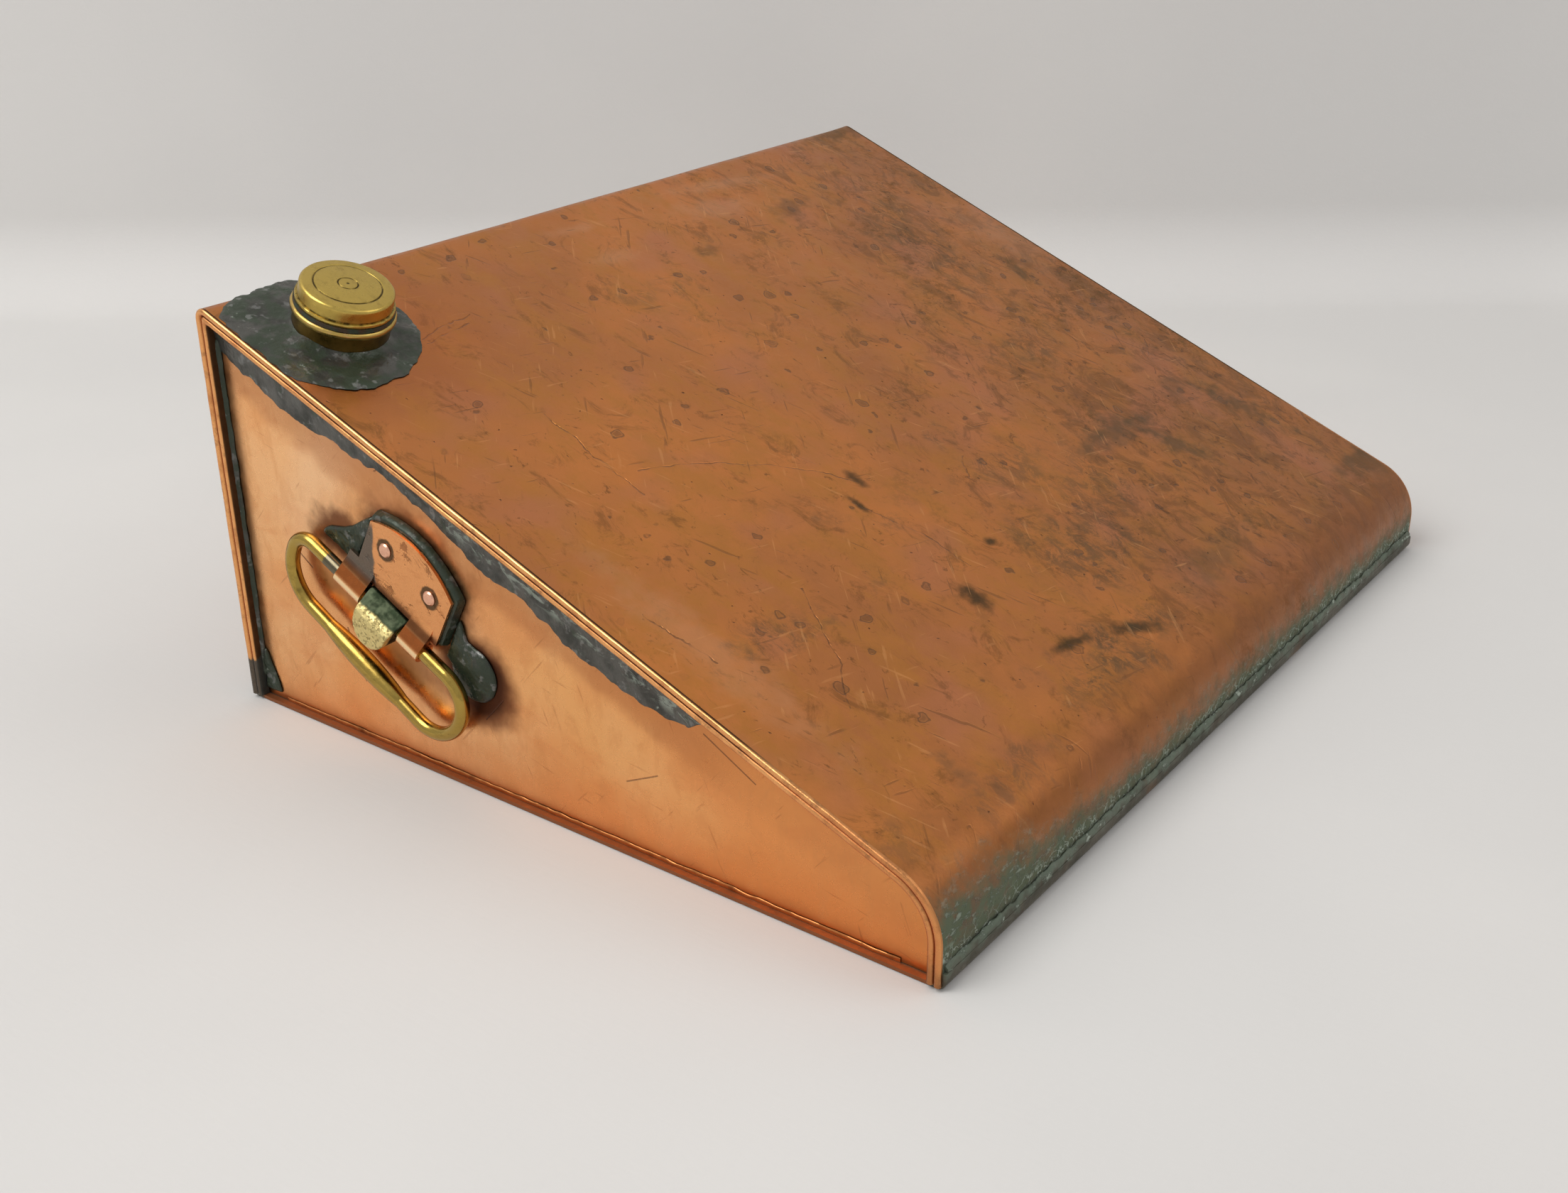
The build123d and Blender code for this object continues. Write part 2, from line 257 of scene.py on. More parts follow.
def puddle(outline, centre, place, height, rings=24, steps=180, hole=0.0, blur=3, ragged=0.03,
           soft=1.4, wall=0.0):
    """Low mass of solder or a thick plate: outline is a closed polygon round centre."""
    edge = [reach(outline, centre, 2 * math.pi * k / steps) for k in range(steps)]
    for _ in range(blur):
        edge = [(edge[k - 1] + 2 * edge[k] + edge[(k + 1) % steps]) / 4 for k in range(steps)]
    outer, inner = [], []
    for i in range(rings + 1):
        share = i / rings
        high, low = [], []
        for k in range(steps):
            c, s = math.cos(2 * math.pi * k / steps), math.sin(2 * math.pi * k / steps)
            wide = edge[k] * (1 + ragged * rough((edge[k] * c, edge[k] * s, 0), 4, 3.1))
            r = hole + (wide - hole) * share
            x, y = centre[0] + r * c, centre[1] + r * s
            inward = (wide - r) / soft
            round_off = wall + (1 - wall) * math.sqrt(1 - (1 - min(inward, 1.0)) ** 2)
            high.append(place(x, y, max(height(x, y, r) * round_off, THINNEST)))
            low.append(place(x, y, LIFT))
        outer.append(high)
        inner.append(low)
    return plate(outer, inner, loop=True)


def strip(run, border, start, place, height, rows, cols=14):
    """Solder run: from start to border(s) across, for s along run, raised by height(s, t)."""
    outer, inner = [], []
    for i in range(rows + 1):
        s = run[0] + (run[1] - run[0]) * i / rows
        taper = min(1.0, min(i, rows - i) / 4 + 0.12)
        high, low = [], []
        for j in range(cols + 1):
            t = j / cols
            w = start + (border(s) - start) * t
            round_off = math.sqrt(max(0.0, 1 - t ** 6)) * math.sqrt(taper)
            high.append(place(s, w, max(height(s, t) * round_off, THINNEST)))
            low.append(place(s, w, LIFT))
        outer.append(high)
        inner.append(low)
    return plate(outer, inner)


# ---- materials ----------------------------------------------------------------------
class Look:
    """Node tree of one material, worked in millimetres of the row frame."""

    def __init__(self, name):
        self.material = bpy.data.materials.new(name)
        self.material.use_nodes = True
        self.tree = self.material.node_tree
        self.shader = self.tree.nodes["Principled BSDF"]
        place = self.tree.nodes.new("ShaderNodeTexCoord").outputs["Object"]
        self.point = self.vector("SCALE", place, scale=1 / MM)
        x = self.dot(self.point, (1, 0, 0))
        down = self.dot(self.point, tuple(DOWN))
        down = self.minus(down, EDGE.dot(DOWN))
        rise = self.dot(self.point, tuple(UP))
        rise = self.minus(rise, EDGE.dot(UP))
        self.x, self.down, self.rise = x, down, rise
        self.y = self.dot(self.point, (0, 1, 0))
        self.z = self.dot(self.point, (0, 0, 1))
        self.slope = self.join(x, down, rise)

    def handle_frame(self):
        """Distances along the hinge line, across it, and out from the end panel."""
        along = self.dot(self.point, tuple(ALONG))
        across = self.dot(self.point, (0, ALONG.z, -ALONG.y))
        u = self.minus(along, HINGE.dot(ALONG))
        v = self.minus(across, HINGE.y * ALONG.z - HINGE.z * ALONG.y)
        w = self.minus(self.times(self.x, -1.0), PANEL_X)
        return u, v, w

    def put(self, socket, value):
        if isinstance(value, bpy.types.NodeSocket):
            self.tree.links.new(value, socket)
        elif value is not None:
            socket.default_value = value

    def vector(self, operation, a, b=None, scale=None):
        node = self.tree.nodes.new("ShaderNodeVectorMath")
        node.operation = operation
        self.put(node.inputs[0], a)
        if b is not None:
            self.put(node.inputs[1], b)
        if scale is not None:
            self.put(node.inputs["Scale"], scale)
        scalar = operation in ("DOT_PRODUCT", "LENGTH", "DISTANCE")
        return node.outputs["Value" if scalar else "Vector"]

    def math(self, operation, a, b=None, clamp=False):
        node = self.tree.nodes.new("ShaderNodeMath")
        node.operation = operation
        node.use_clamp = clamp
        self.put(node.inputs[0], a)
        self.put(node.inputs[1], b)
        return node.outputs[0]

    def times(self, a, b):
        return self.math("MULTIPLY", a, b)

    def plus(self, a, b, clamp=False):
        return self.math("ADD", a, b, clamp)

    def minus(self, a, b):
        return self.math("SUBTRACT", a, b)

    def magnitude(self, a):
        return self.math("ABSOLUTE", a)

    def moved(self, a, b):
        return self.vector("ADD", a, b)

    def away(self, a, b):
        return self.vector("SUBTRACT", a, b)

    def dot(self, a, b):
        return self.vector("DOT_PRODUCT", a, b)

    def length(self, a):
        return self.vector("LENGTH", a)

    def join(self, x, y, z=0.0):
        node = self.tree.nodes.new("ShaderNodeCombineXYZ")
        for socket, value in zip(node.inputs, (x, y, z)):
            self.put(socket, value)
        return node.outputs[0]

    def noise(self, size, detail=3.0, where=None, stretch=(1, 1, 1), bend=0.0, harsh=0.55):
        """Noise from 0 to 1, about 0.5, with features of the given size."""
        scaled = self.vector("MULTIPLY", where or self.point, tuple(s / size for s in stretch))
        node = self.tree.nodes.new("ShaderNodeTexNoise")
        self.put(node.inputs["Vector"], scaled)
        node.inputs["Scale"].default_value = 1.0
        node.inputs["Detail"].default_value = detail
        node.inputs["Roughness"].default_value = harsh
        node.inputs["Distortion"].default_value = bend
        return node.outputs["Fac"]

    def cells(self, size, where=None, feature="F1", shake=0.0):
        """Distance and colour of a cell pattern with cells of the given size."""
        source = where or self.point
        if shake:
            node = self.tree.nodes.new("ShaderNodeTexNoise")
            self.put(node.inputs["Vector"], self.vector("SCALE", source, scale=2.2 / size))
            node.inputs["Scale"].default_value = 1.0
            source = self.moved(source, self.vector("SCALE", node.outputs["Color"], scale=shake))
        node = self.tree.nodes.new("ShaderNodeTexVoronoi")
        node.feature = feature
        self.put(node.inputs["Vector"], self.vector("SCALE", source, scale=1 / size))
        node.inputs["Scale"].default_value = 1.0
        return node.outputs["Distance"], node.outputs.get("Color")

    def fade(self, value, start, end, low=0.0, high=1.0):
        """Smooth step of value from low at start to high at end."""
        node = self.tree.nodes.new("ShaderNodeMapRange")
        node.interpolation_type = "SMOOTHSTEP"
        ups = start <= end
        self.put(node.inputs["Value"], value)
        node.inputs["From Min"].default_value = start if ups else end
        node.inputs["From Max"].default_value = end if ups else start
        node.inputs["To Min"].default_value = low if ups else high
        node.inputs["To Max"].default_value = high if ups else low
        return node.outputs["Result"]

    def mix(self, share, a, b):
        """Colour a turning into colour b as share goes from 0 to 1."""
        node = self.tree.nodes.new("ShaderNodeMix")
        node.data_type = "RGBA"
        self.put(node.inputs["Factor"], share)
        for socket, value in ((node.inputs[6], a), (node.inputs[7], b)):
            self.put(socket, (*value, 1.0) if isinstance(value, tuple) else value)
        return node.outputs[2]

    def paint(self, colour, mask, share, tint):
        """Colour with some share of a tint laid over it where the mask is."""
        return self.mix(self.times(mask, share), colour, tint)

    def waver(self, value, amount, *pattern, **more):
        """Value pushed up unevenly by a noise pattern, by the given amount at most."""
        return self.plus(value, self.times(self.noise(*pattern, **more), amount))

    def both(self, *masks):
        out = masks[0]
        for mask in masks[1:]:
            out = self.times(out, mask)
        return out

    def either(self, *masks):
        out = masks[0]
        for mask in masks[1:]:
            out = self.math("MAXIMUM", out, mask)
        return out

    def blotch(self, where, centre, radii, turn=0.0, soft=0.6, ragged=0.35, size=6.0):
        """Mask of a soft oval stain, turned by some degrees, with a ragged border."""
        across = self.away(where, (*centre, 0.0))
        c, s = math.cos(math.radians(turn)), math.sin(math.radians(turn))
        a = self.dot(across, (c / radii[0], s / radii[0], 0))
        b = self.dot(across, (-s / radii[1], c / radii[1], 0))
        reach = self.length(self.join(a, b))
        shake = self.times(self.minus(self.noise(size, 4, where), 0.5), 2 * ragged * 2)
        return self.fade(self.plus(reach, shake), 1 + soft / 2, 1 - soft)

    def scratch(self, where, points, width=0.35):
        """Mask of a fine line through the points."""
        masks = []
        for (ax, ay), (bx, by) in zip(points, points[1:]):
            run = Vector((bx - ax, by - ay))
            away = self.away(where, (ax, ay, 0.0))
            t = self.dot(away, (*(run / run.length_squared), 0))
            t = self.math("MINIMUM", self.math("MAXIMUM", t, 0.0), 1.0)
            foot = self.vector("SCALE", (*run, 0.0), scale=t)
            gap = self.length(self.away(away, foot))
            masks.append(self.fade(gap, width, width * 0.3))
        return self.either(*masks)

    def handling(self, where, size=2.4):
        """Mask of short fine marks running three ways, as use leaves them."""
        masks = []
        for turn, seed in ((12, 0), (68, 40), (131, 80)):
            c, s = math.cos(math.radians(turn)), math.sin(math.radians(turn))
            a = self.dot(where, (c, s, 0))
            b = self.dot(where, (-s, c, 0))
            streak = self.noise(size, 2, self.join(a, b, float(seed)), (0.085, 1.0, 1.0), bend=0.15)
            gate = self.noise(size * 5, 3, self.join(a, b, float(seed + 9)), (0.4, 1, 1))
            masks.append(self.both(self.fade(streak, 0.655, 0.70), self.fade(gate, 0.50, 0.60)))
        return self.either(*masks)

    def bump(self, height, depth, under=None):
        """Normal for a height from 0 to 1 that stands for depth millimetres."""
        node = self.tree.nodes.new("ShaderNodeBump")
        node.inputs["Strength"].default_value = 1.0
        node.inputs["Distance"].default_value = depth * MM
        self.put(node.inputs["Height"], height)
        self.put(node.inputs["Normal"], under)
        return node.outputs[0]

    def finish(self, colour, roughness, normal=None, metal=1.0):
        self.put(self.shader.inputs["Base Color"],
                 (*colour, 1.0) if isinstance(colour, tuple) else colour)
        self.put(self.shader.inputs["Roughness"], roughness)
        self.put(self.shader.inputs["Metallic"], metal)
        self.put(self.shader.inputs["Normal"], normal)
        return self.material


COPPER = (0.66, 0.243, 0.068)
COPPER_BRIGHT = (0.86, 0.42, 0.16)
COPPER_DEEP = (0.40, 0.115, 0.038)
COPPER_BROWN = (0.21, 0.098, 0.036)
OLIVE = (0.105, 0.078, 0.035)
SOOT = (0.028, 0.022, 0.016)
VERDIGRIS = (0.050, 0.106, 0.060)
CRUST = (0.40, 0.46, 0.38)
LEAD = (0.118, 0.115, 0.104)


def aged_copper():
    """Foot rest, back and nose: brown patina, ring spots, stains, and verdigris at the nose."""
    look = Look("aged_copper")
    flat = look.join(look.x, look.down)
    broad = look.noise(95, 3, look.slope)
    colour = look.mix(look.fade(broad, 0.36, 0.66), COPPER, (0.51, 0.193, 0.066))
    gold = look.fade(look.noise(17, 8, look.moved(look.slope, (7, 33, 0)), (1, 0.6, 1), harsh=0.68),
                     0.44, 0.62)
    colour = look.paint(colour, gold, 0.60, (0.55, 0.225, 0.050))
    # the half away from the handle, and the low part, are browner
    far = look.plus(look.times(look.x, 0.0028), look.times(look.down, 0.0015))
    far = look.plus(far, look.minus(look.noise(55, 5, look.slope), 0.5))
    browner = look.fade(far, 0.05, 0.75)
    colour = look.paint(colour, browner, 0.30, COPPER_BROWN)
    rose = look.fade(look.noise(42, 2, look.moved(look.slope, (90, 20, 0))), 0.50, 0.70, 0, 0.5)
    colour = look.mix(rose, colour, (0.55, 0.21, 0.110))
    # worn brown drift, close and fine, drawn out down the slope and thicker away from the handle
    worn = look.noise(13, 9, look.moved(look.slope, (61, 9, 0)), (1.0, 0.66, 1.0), bend=0.8,
                      harsh=0.76)
    more = look.times(browner, 0.075)
    worn = look.fade(look.plus(worn, more), 0.53, 0.66)
    colour = look.paint(colour, worn, 0.46, (0.155, 0.070, 0.023))
    flecks = look.noise(5.0, 8, look.moved(look.slope, (5, 77, 0)), (1.0, 0.58, 1.0), bend=1.2,
                        harsh=0.74)
    flecks = look.fade(look.plus(flecks, look.times(browner, 0.05)), 0.60, 0.67)
    colour = look.paint(colour, flecks, 0.55, (0.110, 0.050, 0.020))
    # olive stipple in drifts
    drift = look.fade(look.noise(34, 5, look.moved(look.slope, (15, 40, 0)), harsh=0.65), 0.50, 0.68)
    grain = look.fade(look.noise(5.0, 9, look.slope, harsh=0.78), 0.44, 0.58)
    stains = look.both(drift, grain, look.fade(far, -0.25, 0.55))
    colour = look.paint(colour, stains, 0.55, OLIVE)
    # stains of known place: centre, radii, turn, strength, stippled
    places = [
        ((-135, 213), (19, 8), 5, 0.75, True),
        ((-45, 283), (34, 12), 4, 0.9, True),
        ((-120, 291), (24, 8), 0, 0.7, True),
        ((12, 243), (42, 24), -12, 0.75, True),
        ((16, 203), (26, 14), -10, 0.6, True),
        ((75, 212), (26, 8), 6, 0.75, False),
        ((98, 232), (6, 17), -28, 0.8, False),
        ((122, 92), (24, 52), 15, 0.62, True),
        ((95, 158), (24, 13), -8, 0.6, True),
        ((85, 43), (11, 8), -20, 0.65, False),
        ((20, 52), (6, 4), 0, 0.5, False),
        ((-10, 67), (8, 6), 0, 0.6, True),
        ((-31, 64), (11, 9), 0, 0.45, True),
        ((-72, 186), (6, 5), 0, 0.5, True),
        ((-82, 214), (8, 6), 0, 0.45, True),
        ((5, 178), (9, 7), 0, 0.7, True),
        ((-55, 198), (6, 5), 0, 0.5, True),
        ((42, 277), (30, 8), -4, 0.55, False),
        ((154, 234), (6, 20), -14, 0.75, False),
        ((172, 287), (16, 10), 0, 0.85, False),
        ((170, 47), (9, 14), 0, 0.6, True),
        ((172, 6), (32, 7), 0, 0.7, False),
        ((150, 123), (4, 11), 25, 0.7, False),
        ((157, 178), (5, 13), -4, 0.7, True),
        ((135, 210), (9, 7), 0, 0.5, False),
        ((-134, 280), (4, 9), 0, 0.5, False),
        ((-172, 286), (16, 8), 0, 0.45, True),
    ]
    dark = None
    for centre, radii, turn, strength, stippled in places:
        mask = look.blotch(flat, centre, radii, turn, soft=0.80, ragged=0.85,
                           size=max(6, 1.2 * min(radii)))
        if stippled:
            mask = look.both(mask, look.fade(look.noise(7.0, 9, look.slope, (1, 0.7, 1), bend=0.6,
                                                        harsh=0.80), 0.44, 0.58, 0.12, 1.0))
        mask = look.times(mask, strength)
        dark = mask if dark is None else look.either(dark, mask)
    colour = look.paint(colour, dark, 0.90, (0.082, 0.052, 0.022))
    # pale wiped patches
    for centre, radii, turn in (((50, 30), (22, 7), 10), ((-20, 39), (10, 5), 0),
                                ((-20, 18), (13, 3), 4),
                                ((170, 100), (14, 26), 0), ((-158, 205), (9, 46), 0),
                                ((66, 17), (30, 4), 6)):
        pale = look.blotch(flat, centre, radii, turn, soft=0.9, ragged=0.5, size=9)
        colour = look.paint(colour, pale, 0.32, (0.70, 0.36, 0.20))
    # dark green drips
    green = None
    for centre, radii, turn in (((-61, 238), (4.5, 7), 0), ((-50, 270), (12, 2.6), 8),
                                ((-22, 279), (13, 3.2), 26), ((-57, 186), (1.8, 6), 0),
                                ((-46, 177), (2.5, 5), 0),
                                ((-30, 224), (3, 2), 0)):
        drop = look.blotch(flat, centre, radii, turn, soft=0.8, ragged=0.4, size=4)
        green = drop if green is None else look.either(green, drop)
    colour = look.paint(colour, green, 0.8, (0.020, 0.030, 0.016))
    # small rings left by drops: a few cells of a coarse pattern carry one each
    reach, tint = look.cells(11, look.slope, shake=4.5)
    chosen = look.fade(look.dot(tint, (1, 0, 0)), 0.52, 0.60)
    spread = look.dot(tint, (0, 0.09, 0))
    gap = look.magnitude(look.minus(reach, look.plus(spread, 0.10)))
    rings = look.both(look.fade(gap, 0.045, 0.012), chosen)
    inside = look.both(look.fade(reach, 0.20, 0.08), chosen)
    colour = look.paint(colour, look.either(look.times(inside, 0.75), rings), 0.62,
                        (0.13, 0.072, 0.040))
    # pin pits
    pit_reach, pit_tint = look.cells(5.2, look.slope, shake=1.8)
    pit_on = look.fade(look.dot(pit_tint, (0, 1, 0)), 0.70, 0.76)
    pits = look.both(look.fade(pit_reach, 0.11, 0.04), pit_on)
    colour = look.paint(colour, pits, 0.7, SOOT)
    # long scratches
    lines = [
        [(-112, 135), (-97, 139), (-82, 147), (-66, 158), (-54, 168), (-47, 178)],
        [(-58, 184), (-54, 196), (-49, 207), (-48, 228)],
        [(-110, 202), (-118, 216), (-127, 231), (-134, 238), (-140, 245)],
        [(-118, 98), (-119, 120), (-120, 145)],
        [(-164, 183), (-162, 195), (-160, 210)],
        [(138, 200), (146, 192), (158, 184)],
        [(-9, 202), (0, 193), (4, 190)],
        [(-126, 48), (-112, 45), (-100, 44)], [(-126, 51), (-112, 48.5), (-104, 47)],
    ]
    sway = look.vector("SCALE", look.join(look.noise(9, 3, look.slope),
                                          look.noise(11, 3, look.slope)), scale=5.0)
    warped = look.moved(flat, look.away(sway, (2.5, 2.5, 0)))
    cuts = look.either(*[look.scratch(warped, line, 0.42) for line in lines])
    cuts = look.both(cuts, look.fade(look.noise(6, 5, look.slope), 0.38, 0.56, 0.2, 1.0))
    colour = look.paint(colour, cuts, 0.55, (0.10, 0.052, 0.026))
    marks = look.handling(look.slope)
    colour = look.paint(colour, marks, 0.42, (0.17, 0.080, 0.032))
    rubbed = look.handling(look.moved(look.slope, (70, 130, 0)), 1.8)
    colour = look.paint(colour, rubbed, 0.30, COPPER_BRIGHT)
    # heat stain by the filler neck, brown nose
    halo = look.blotch(flat, (-143, 38), (45, 42), 0, soft=0.7, ragged=0.25, size=14)
    colour = look.paint(colour, halo, 0.45, COPPER_DEEP)
    # painted shade: the nose is coloured darker brown low down, where its rounded face turns away
    # from the light
    nose = look.fade(look.waver(look.z, 9, 12, 4), 44, 30)
    front = look.fade(look.y, -100, -125)
    nose = look.both(nose, front)
    colour = look.paint(colour, nose, 0.70, (0.285, 0.105, 0.036))
    # verdigris creeping up from the front seam, with pale crust
    creep = look.plus(look.z, look.times(look.minus(look.noise(9, 8, harsh=0.72), 0.5), 22))
    handle_side = look.times(look.fade(look.x, -80, -170), 9.0)
    creep = look.minus(creep, handle_side)
    growth = look.both(look.fade(creep, 22, 8), look.fade(look.y, -124, -136))
    colour = look.paint(colour, growth, 0.88, VERDIGRIS)
    flakes = look.both(look.fade(look.noise(2.4, 7, stretch=(0.6, 1, 1.3), harsh=0.72), 0.52, 0.62),
                       growth)
    veins, _ = look.cells(4.4, feature="DISTANCE_TO_EDGE", shake=3.0)
    crackle = look.both(look.fade(veins, 0.06, 0.01), growth, look.fade(look.z, 15, 9))
    crusty = look.either(look.times(flakes, 0.50), look.times(crackle, 0.9))
    colour = look.paint(colour, crusty, 0.85, CRUST)
    browned = look.both(look.fade(look.noise(7, 7, harsh=0.7), 0.50, 0.60), growth,
                        look.fade(look.z, 9, 18, 0.25, 1.0))
    colour = look.paint(colour, browned, 0.65, (0.16, 0.070, 0.030))
    seam_dark = look.both(look.fade(look.z, 9.6, 8.0), look.fade(look.y, -136, -140))
    colour = look.paint(colour, seam_dark, 0.5, (0.05, 0.055, 0.04))
    # the back and its foot
    behind = look.both(look.fade(look.y, 139.5, 141), look.fade(look.z, 26, 13))
    colour = look.paint(colour, behind, 0.7, (0.06, 0.075, 0.05))
    mottle = look.noise(7, 6, look.slope, harsh=0.65)
    rough_level = look.fade(mottle, 0.35, 0.65, 0.29, 0.42)
    rough_level = look.plus(rough_level, look.times(look.either(dark, stains), 0.22))
    rough_level = look.plus(rough_level, look.times(look.either(growth, pits), 0.30), clamp=True)
    low = look.bump(look.noise(24, 2), 0.35)
    mid = look.bump(look.plus(look.noise(1.1, 4, look.slope, harsh=0.6), look.times(mottle, 0.6)),
                    0.05, low)
    cut = look.either(cuts, pits, look.times(rings, 0.4), look.times(marks, 0.35))
    engraved = look.bump(look.minus(1.0, cut), 0.14, mid)
    grown = look.bump(crusty, 0.35, engraved)
    metal = look.minus(1.0, look.times(look.either(growth, look.times(dark, 0.5)), 0.8))
    return look.finish(colour, rough_level, grown, metal)


def polished_copper():
    """End panels: brighter, with soft streaks, painted reflections, painted shade along the rim and
    floor, and darker heat stains with painted shade and reflection round the handle.
    """
    look = Look("polished_copper")
    side = look.join(look.y, look.z)
    broad = look.noise(60, 3)
    colour = look.mix(look.fade(broad, 0.38, 0.66), (0.98, 0.545, 0.255), (0.92, 0.430, 0.160))
    toward_nose = look.fade(look.waver(look.y, 40, 40, 3), 45, -60)
    colour = look.paint(colour, toward_nose, 0.78, (0.80, 0.290, 0.075))
    # painted reflection: a brighter patch where the polished panel mirrors the pale floor
    glow = look.blotch(side, (-22, 38), (52, 17), 24, soft=0.95, ragged=0.35, size=22)
    colour = look.paint(colour, glow, 0.36, (1.0, 0.60, 0.24))
    bloom = look.fade(look.noise(26, 4, stretch=(1, 0.5, 1.0), bend=1.0), 0.50, 0.70, 0, 0.40)
    colour = look.mix(bloom, colour, (0.76, 0.285, 0.100))
    low_band = look.fade(look.waver(look.z, 26, 22, 4), 40, 12)
    colour = look.paint(colour, low_band, 0.55, (0.74, 0.250, 0.070))
    haze = look.fade(look.noise(8, 8, stretch=(1, 1, 0.45), bend=0.4, harsh=0.72), 0.47, 0.62, 0,
                     0.32)
    colour = look.mix(haze, colour, (0.72, 0.310, 0.110))
    # painted reflection: a second pale patch of mirrored light on the polished panel
    pale = look.blotch(side, (92, 96), (34, 15), -55, soft=0.95, ragged=0.4, size=20)
    colour = look.paint(colour, pale, 0.45, (1.0, 0.66, 0.40))
    marks = look.handling(side, 2.0)
    colour = look.paint(colour, marks, 0.34, (0.36, 0.120, 0.045))
    # dull brown under the sloping rim, along the floor and up both edges: painted shade under the
    # rim's overhang and where the panel meets the floor, darkening up the back edge by its seam
    edge = look.fade(look.waver(look.rise, 8, 10, 4), -22, -9)
    floor = look.fade(look.waver(look.z, 7, 16, 4), 12, 4)
    back = look.fade(look.waver(look.y, 7, 12, 4), 133, 142)
    foot_line = look.fade(look.waver(look.z, 3, 7, 5), 5.0, 3.2)
    grime_and_shade = look.either(look.times(edge, 0.14), look.times(floor, 0.30),
                        look.times(back, 0.45), look.times(foot_line, 0.6))
    colour = look.mix(grime_and_shade, colour, (0.20, 0.070, 0.026))
    left_end = look.fade(look.x, -100, -170)
    # heat from soldering the handle: a red-brown stain close round it, with painted shade and painted
    # reflection of the handle in the polished panel: the dark halo round the bracket, the dark band
    # below the hinge where the bail is mirrored, and the shade round the ear
    u, v, _ = look.handle_frame()
    flat_handle = look.join(u, v)
    heat = look.blotch(flat_handle, (0, 15), (30, 24), 0, soft=0.42, ragged=0.22, size=10)
    ring = look.blotch(flat_handle, (37.0, 3.2), (13.5, 12.8), 0, soft=0.22, ragged=0.08, size=9)
    outer_ring = look.blotch(flat_handle, (37.5, 2.6), (18.5, 17.0), 0, soft=0.30, ragged=0.10,
                             size=9)
    ear_shade = look.blotch(flat_handle, (-29, 7), (15, 10), 20, soft=0.5, ragged=0.25, size=8)
    under = look.blotch(flat_handle, (0, -11), (38, 7.5), 0, soft=0.55, ragged=0.2, size=8)
    heat_and_shade = look.either(look.times(heat, 0.72), look.times(outer_ring, 0.85),
                      look.times(ear_shade, 0.85), look.times(under, 0.55))
    colour = look.mix(look.both(heat_and_shade, left_end), colour, (0.135, 0.035, 0.014))
    halo_and_reflection = look.blotch(flat_handle, (1, 17), (25, 19.5), 0, soft=0.22, ragged=0.12, size=8)
    colour = look.mix(look.both(look.times(look.either(ring, halo_and_reflection), 0.85), left_end), colour,
                      (0.050, 0.014, 0.007))
    # brown fringe just below the solder under the sloping rim
    fringe = look.fade(look.waver(look.rise, 9, 12, 5), -23, -16)
    fringe = look.both(look.times(fringe, 0.42), left_end, look.fade(look.y, -85, -45))
    colour = look.mix(fringe, colour, (0.42, 0.140, 0.050))
    speck_reach, speck_tint = look.cells(9)
    speck = look.both(look.fade(speck_reach, 0.10, 0.03),
                      look.fade(look.dot(speck_tint, (1, 0, 0)), 0.84, 0.86))
    marks = [
        [(46, 96), (24, 88)], [(28, 26), (20, 35)], [(-2, 78), (-32, 60)], [(-60, 50), (-78, 40)],
        [(90, 40), (84, 22)], [(110, 62), (104, 58)], [(-30, 24), (-42, 30)], [(68, 100), (60, 104)],
    ]
    cuts = look.either(*[look.scratch(side, line, 0.35) for line in marks])
    colour = look.paint(colour, look.either(speck, cuts), 0.6, (0.10, 0.045, 0.03))
    mottle = look.noise(5, 6, harsh=0.65)
    rough_level = look.fade(mottle, 0.30, 0.70, 0.22, 0.34)
    rough_level = look.plus(rough_level, look.times(look.either(grime_and_shade, heat_and_shade), 0.22), clamp=True)
    swell = look.bump(look.noise(30, 2), 0.30)
    fine = look.bump(look.noise(0.9, 4, harsh=0.6), 0.018, swell)
    engraved = look.bump(look.minus(1.0, look.either(speck, cuts)), 0.10, fine)
    return look.finish(colour, rough_level, engraved)


def rim_copper():
    """Folded rim: bright on its crests, rubbed wear with a painted highlight; painted shade black in
    the fold and on its inner wall.
    """
    look = Look("rim_copper")
    geometry = look.tree.nodes.new("ShaderNodeNewGeometry")
    # rubbed wear and painted highlight: the crests of the fold are coloured brighter
    crest = look.fade(geometry.outputs["Pointiness"], 0.47, 0.55)
    worn = look.times(crest, look.fade(look.noise(9, 5, harsh=0.6), 0.32, 0.52, 0.45, 1.0))
    colour = look.mix(worn, (0.50, 0.175, 0.060), (0.92, 0.450, 0.170))
    lower = look.fade(look.y, -80, -120)
    colour = look.paint(colour, lower, 0.55, (0.60, 0.210, 0.070))
    out = look.magnitude(look.x)
    # painted shade: black in the fold groove along the slope and on the inner wall standing over the
    # recessed panel
    groove = look.fade(out, RIM_X - 0.55, RIM_X - 0.95)
    inner = look.fade(out, RIM_X - 2.9, RIM_X - 3.4)
    slope_only = look.both(look.fade(look.y, 140.5, 137.0), look.fade(look.y, -104, -72))
    groove = look.either(look.both(groove, look.math("MAXIMUM", slope_only, 0.28)), inner)
    colour = look.paint(colour, groove, 0.92, (0.030, 0.018, 0.012))
    dirt = look.fade(look.noise(6, 5, harsh=0.7), 0.54, 0.66)
    colour = look.paint(colour, dirt, 0.40, (0.14, 0.06, 0.035))
    foot = look.fade(look.waver(look.z, 6, 5, 4), 14, 7)
    foot = look.both(foot, look.fade(look.y, -60, -110))
    colour = look.paint(colour, foot, 0.35, (0.10, 0.075, 0.045))
    patch = look.waver(look.z, 9, 6, 5)
    patch = look.both(look.fade(patch, 20.5, 19.0), look.fade(look.y, 134.5, 136))
    colour = look.paint(colour, patch, 0.95, (0.085, 0.088, 0.078))
    level = look.plus(look.times(groove, 0.5), look.fade(look.noise(4, 4), 0.3, 0.7, 0.20, 0.36))
    return look.finish(colour, level, look.bump(look.noise(1.8, 4), 0.06))


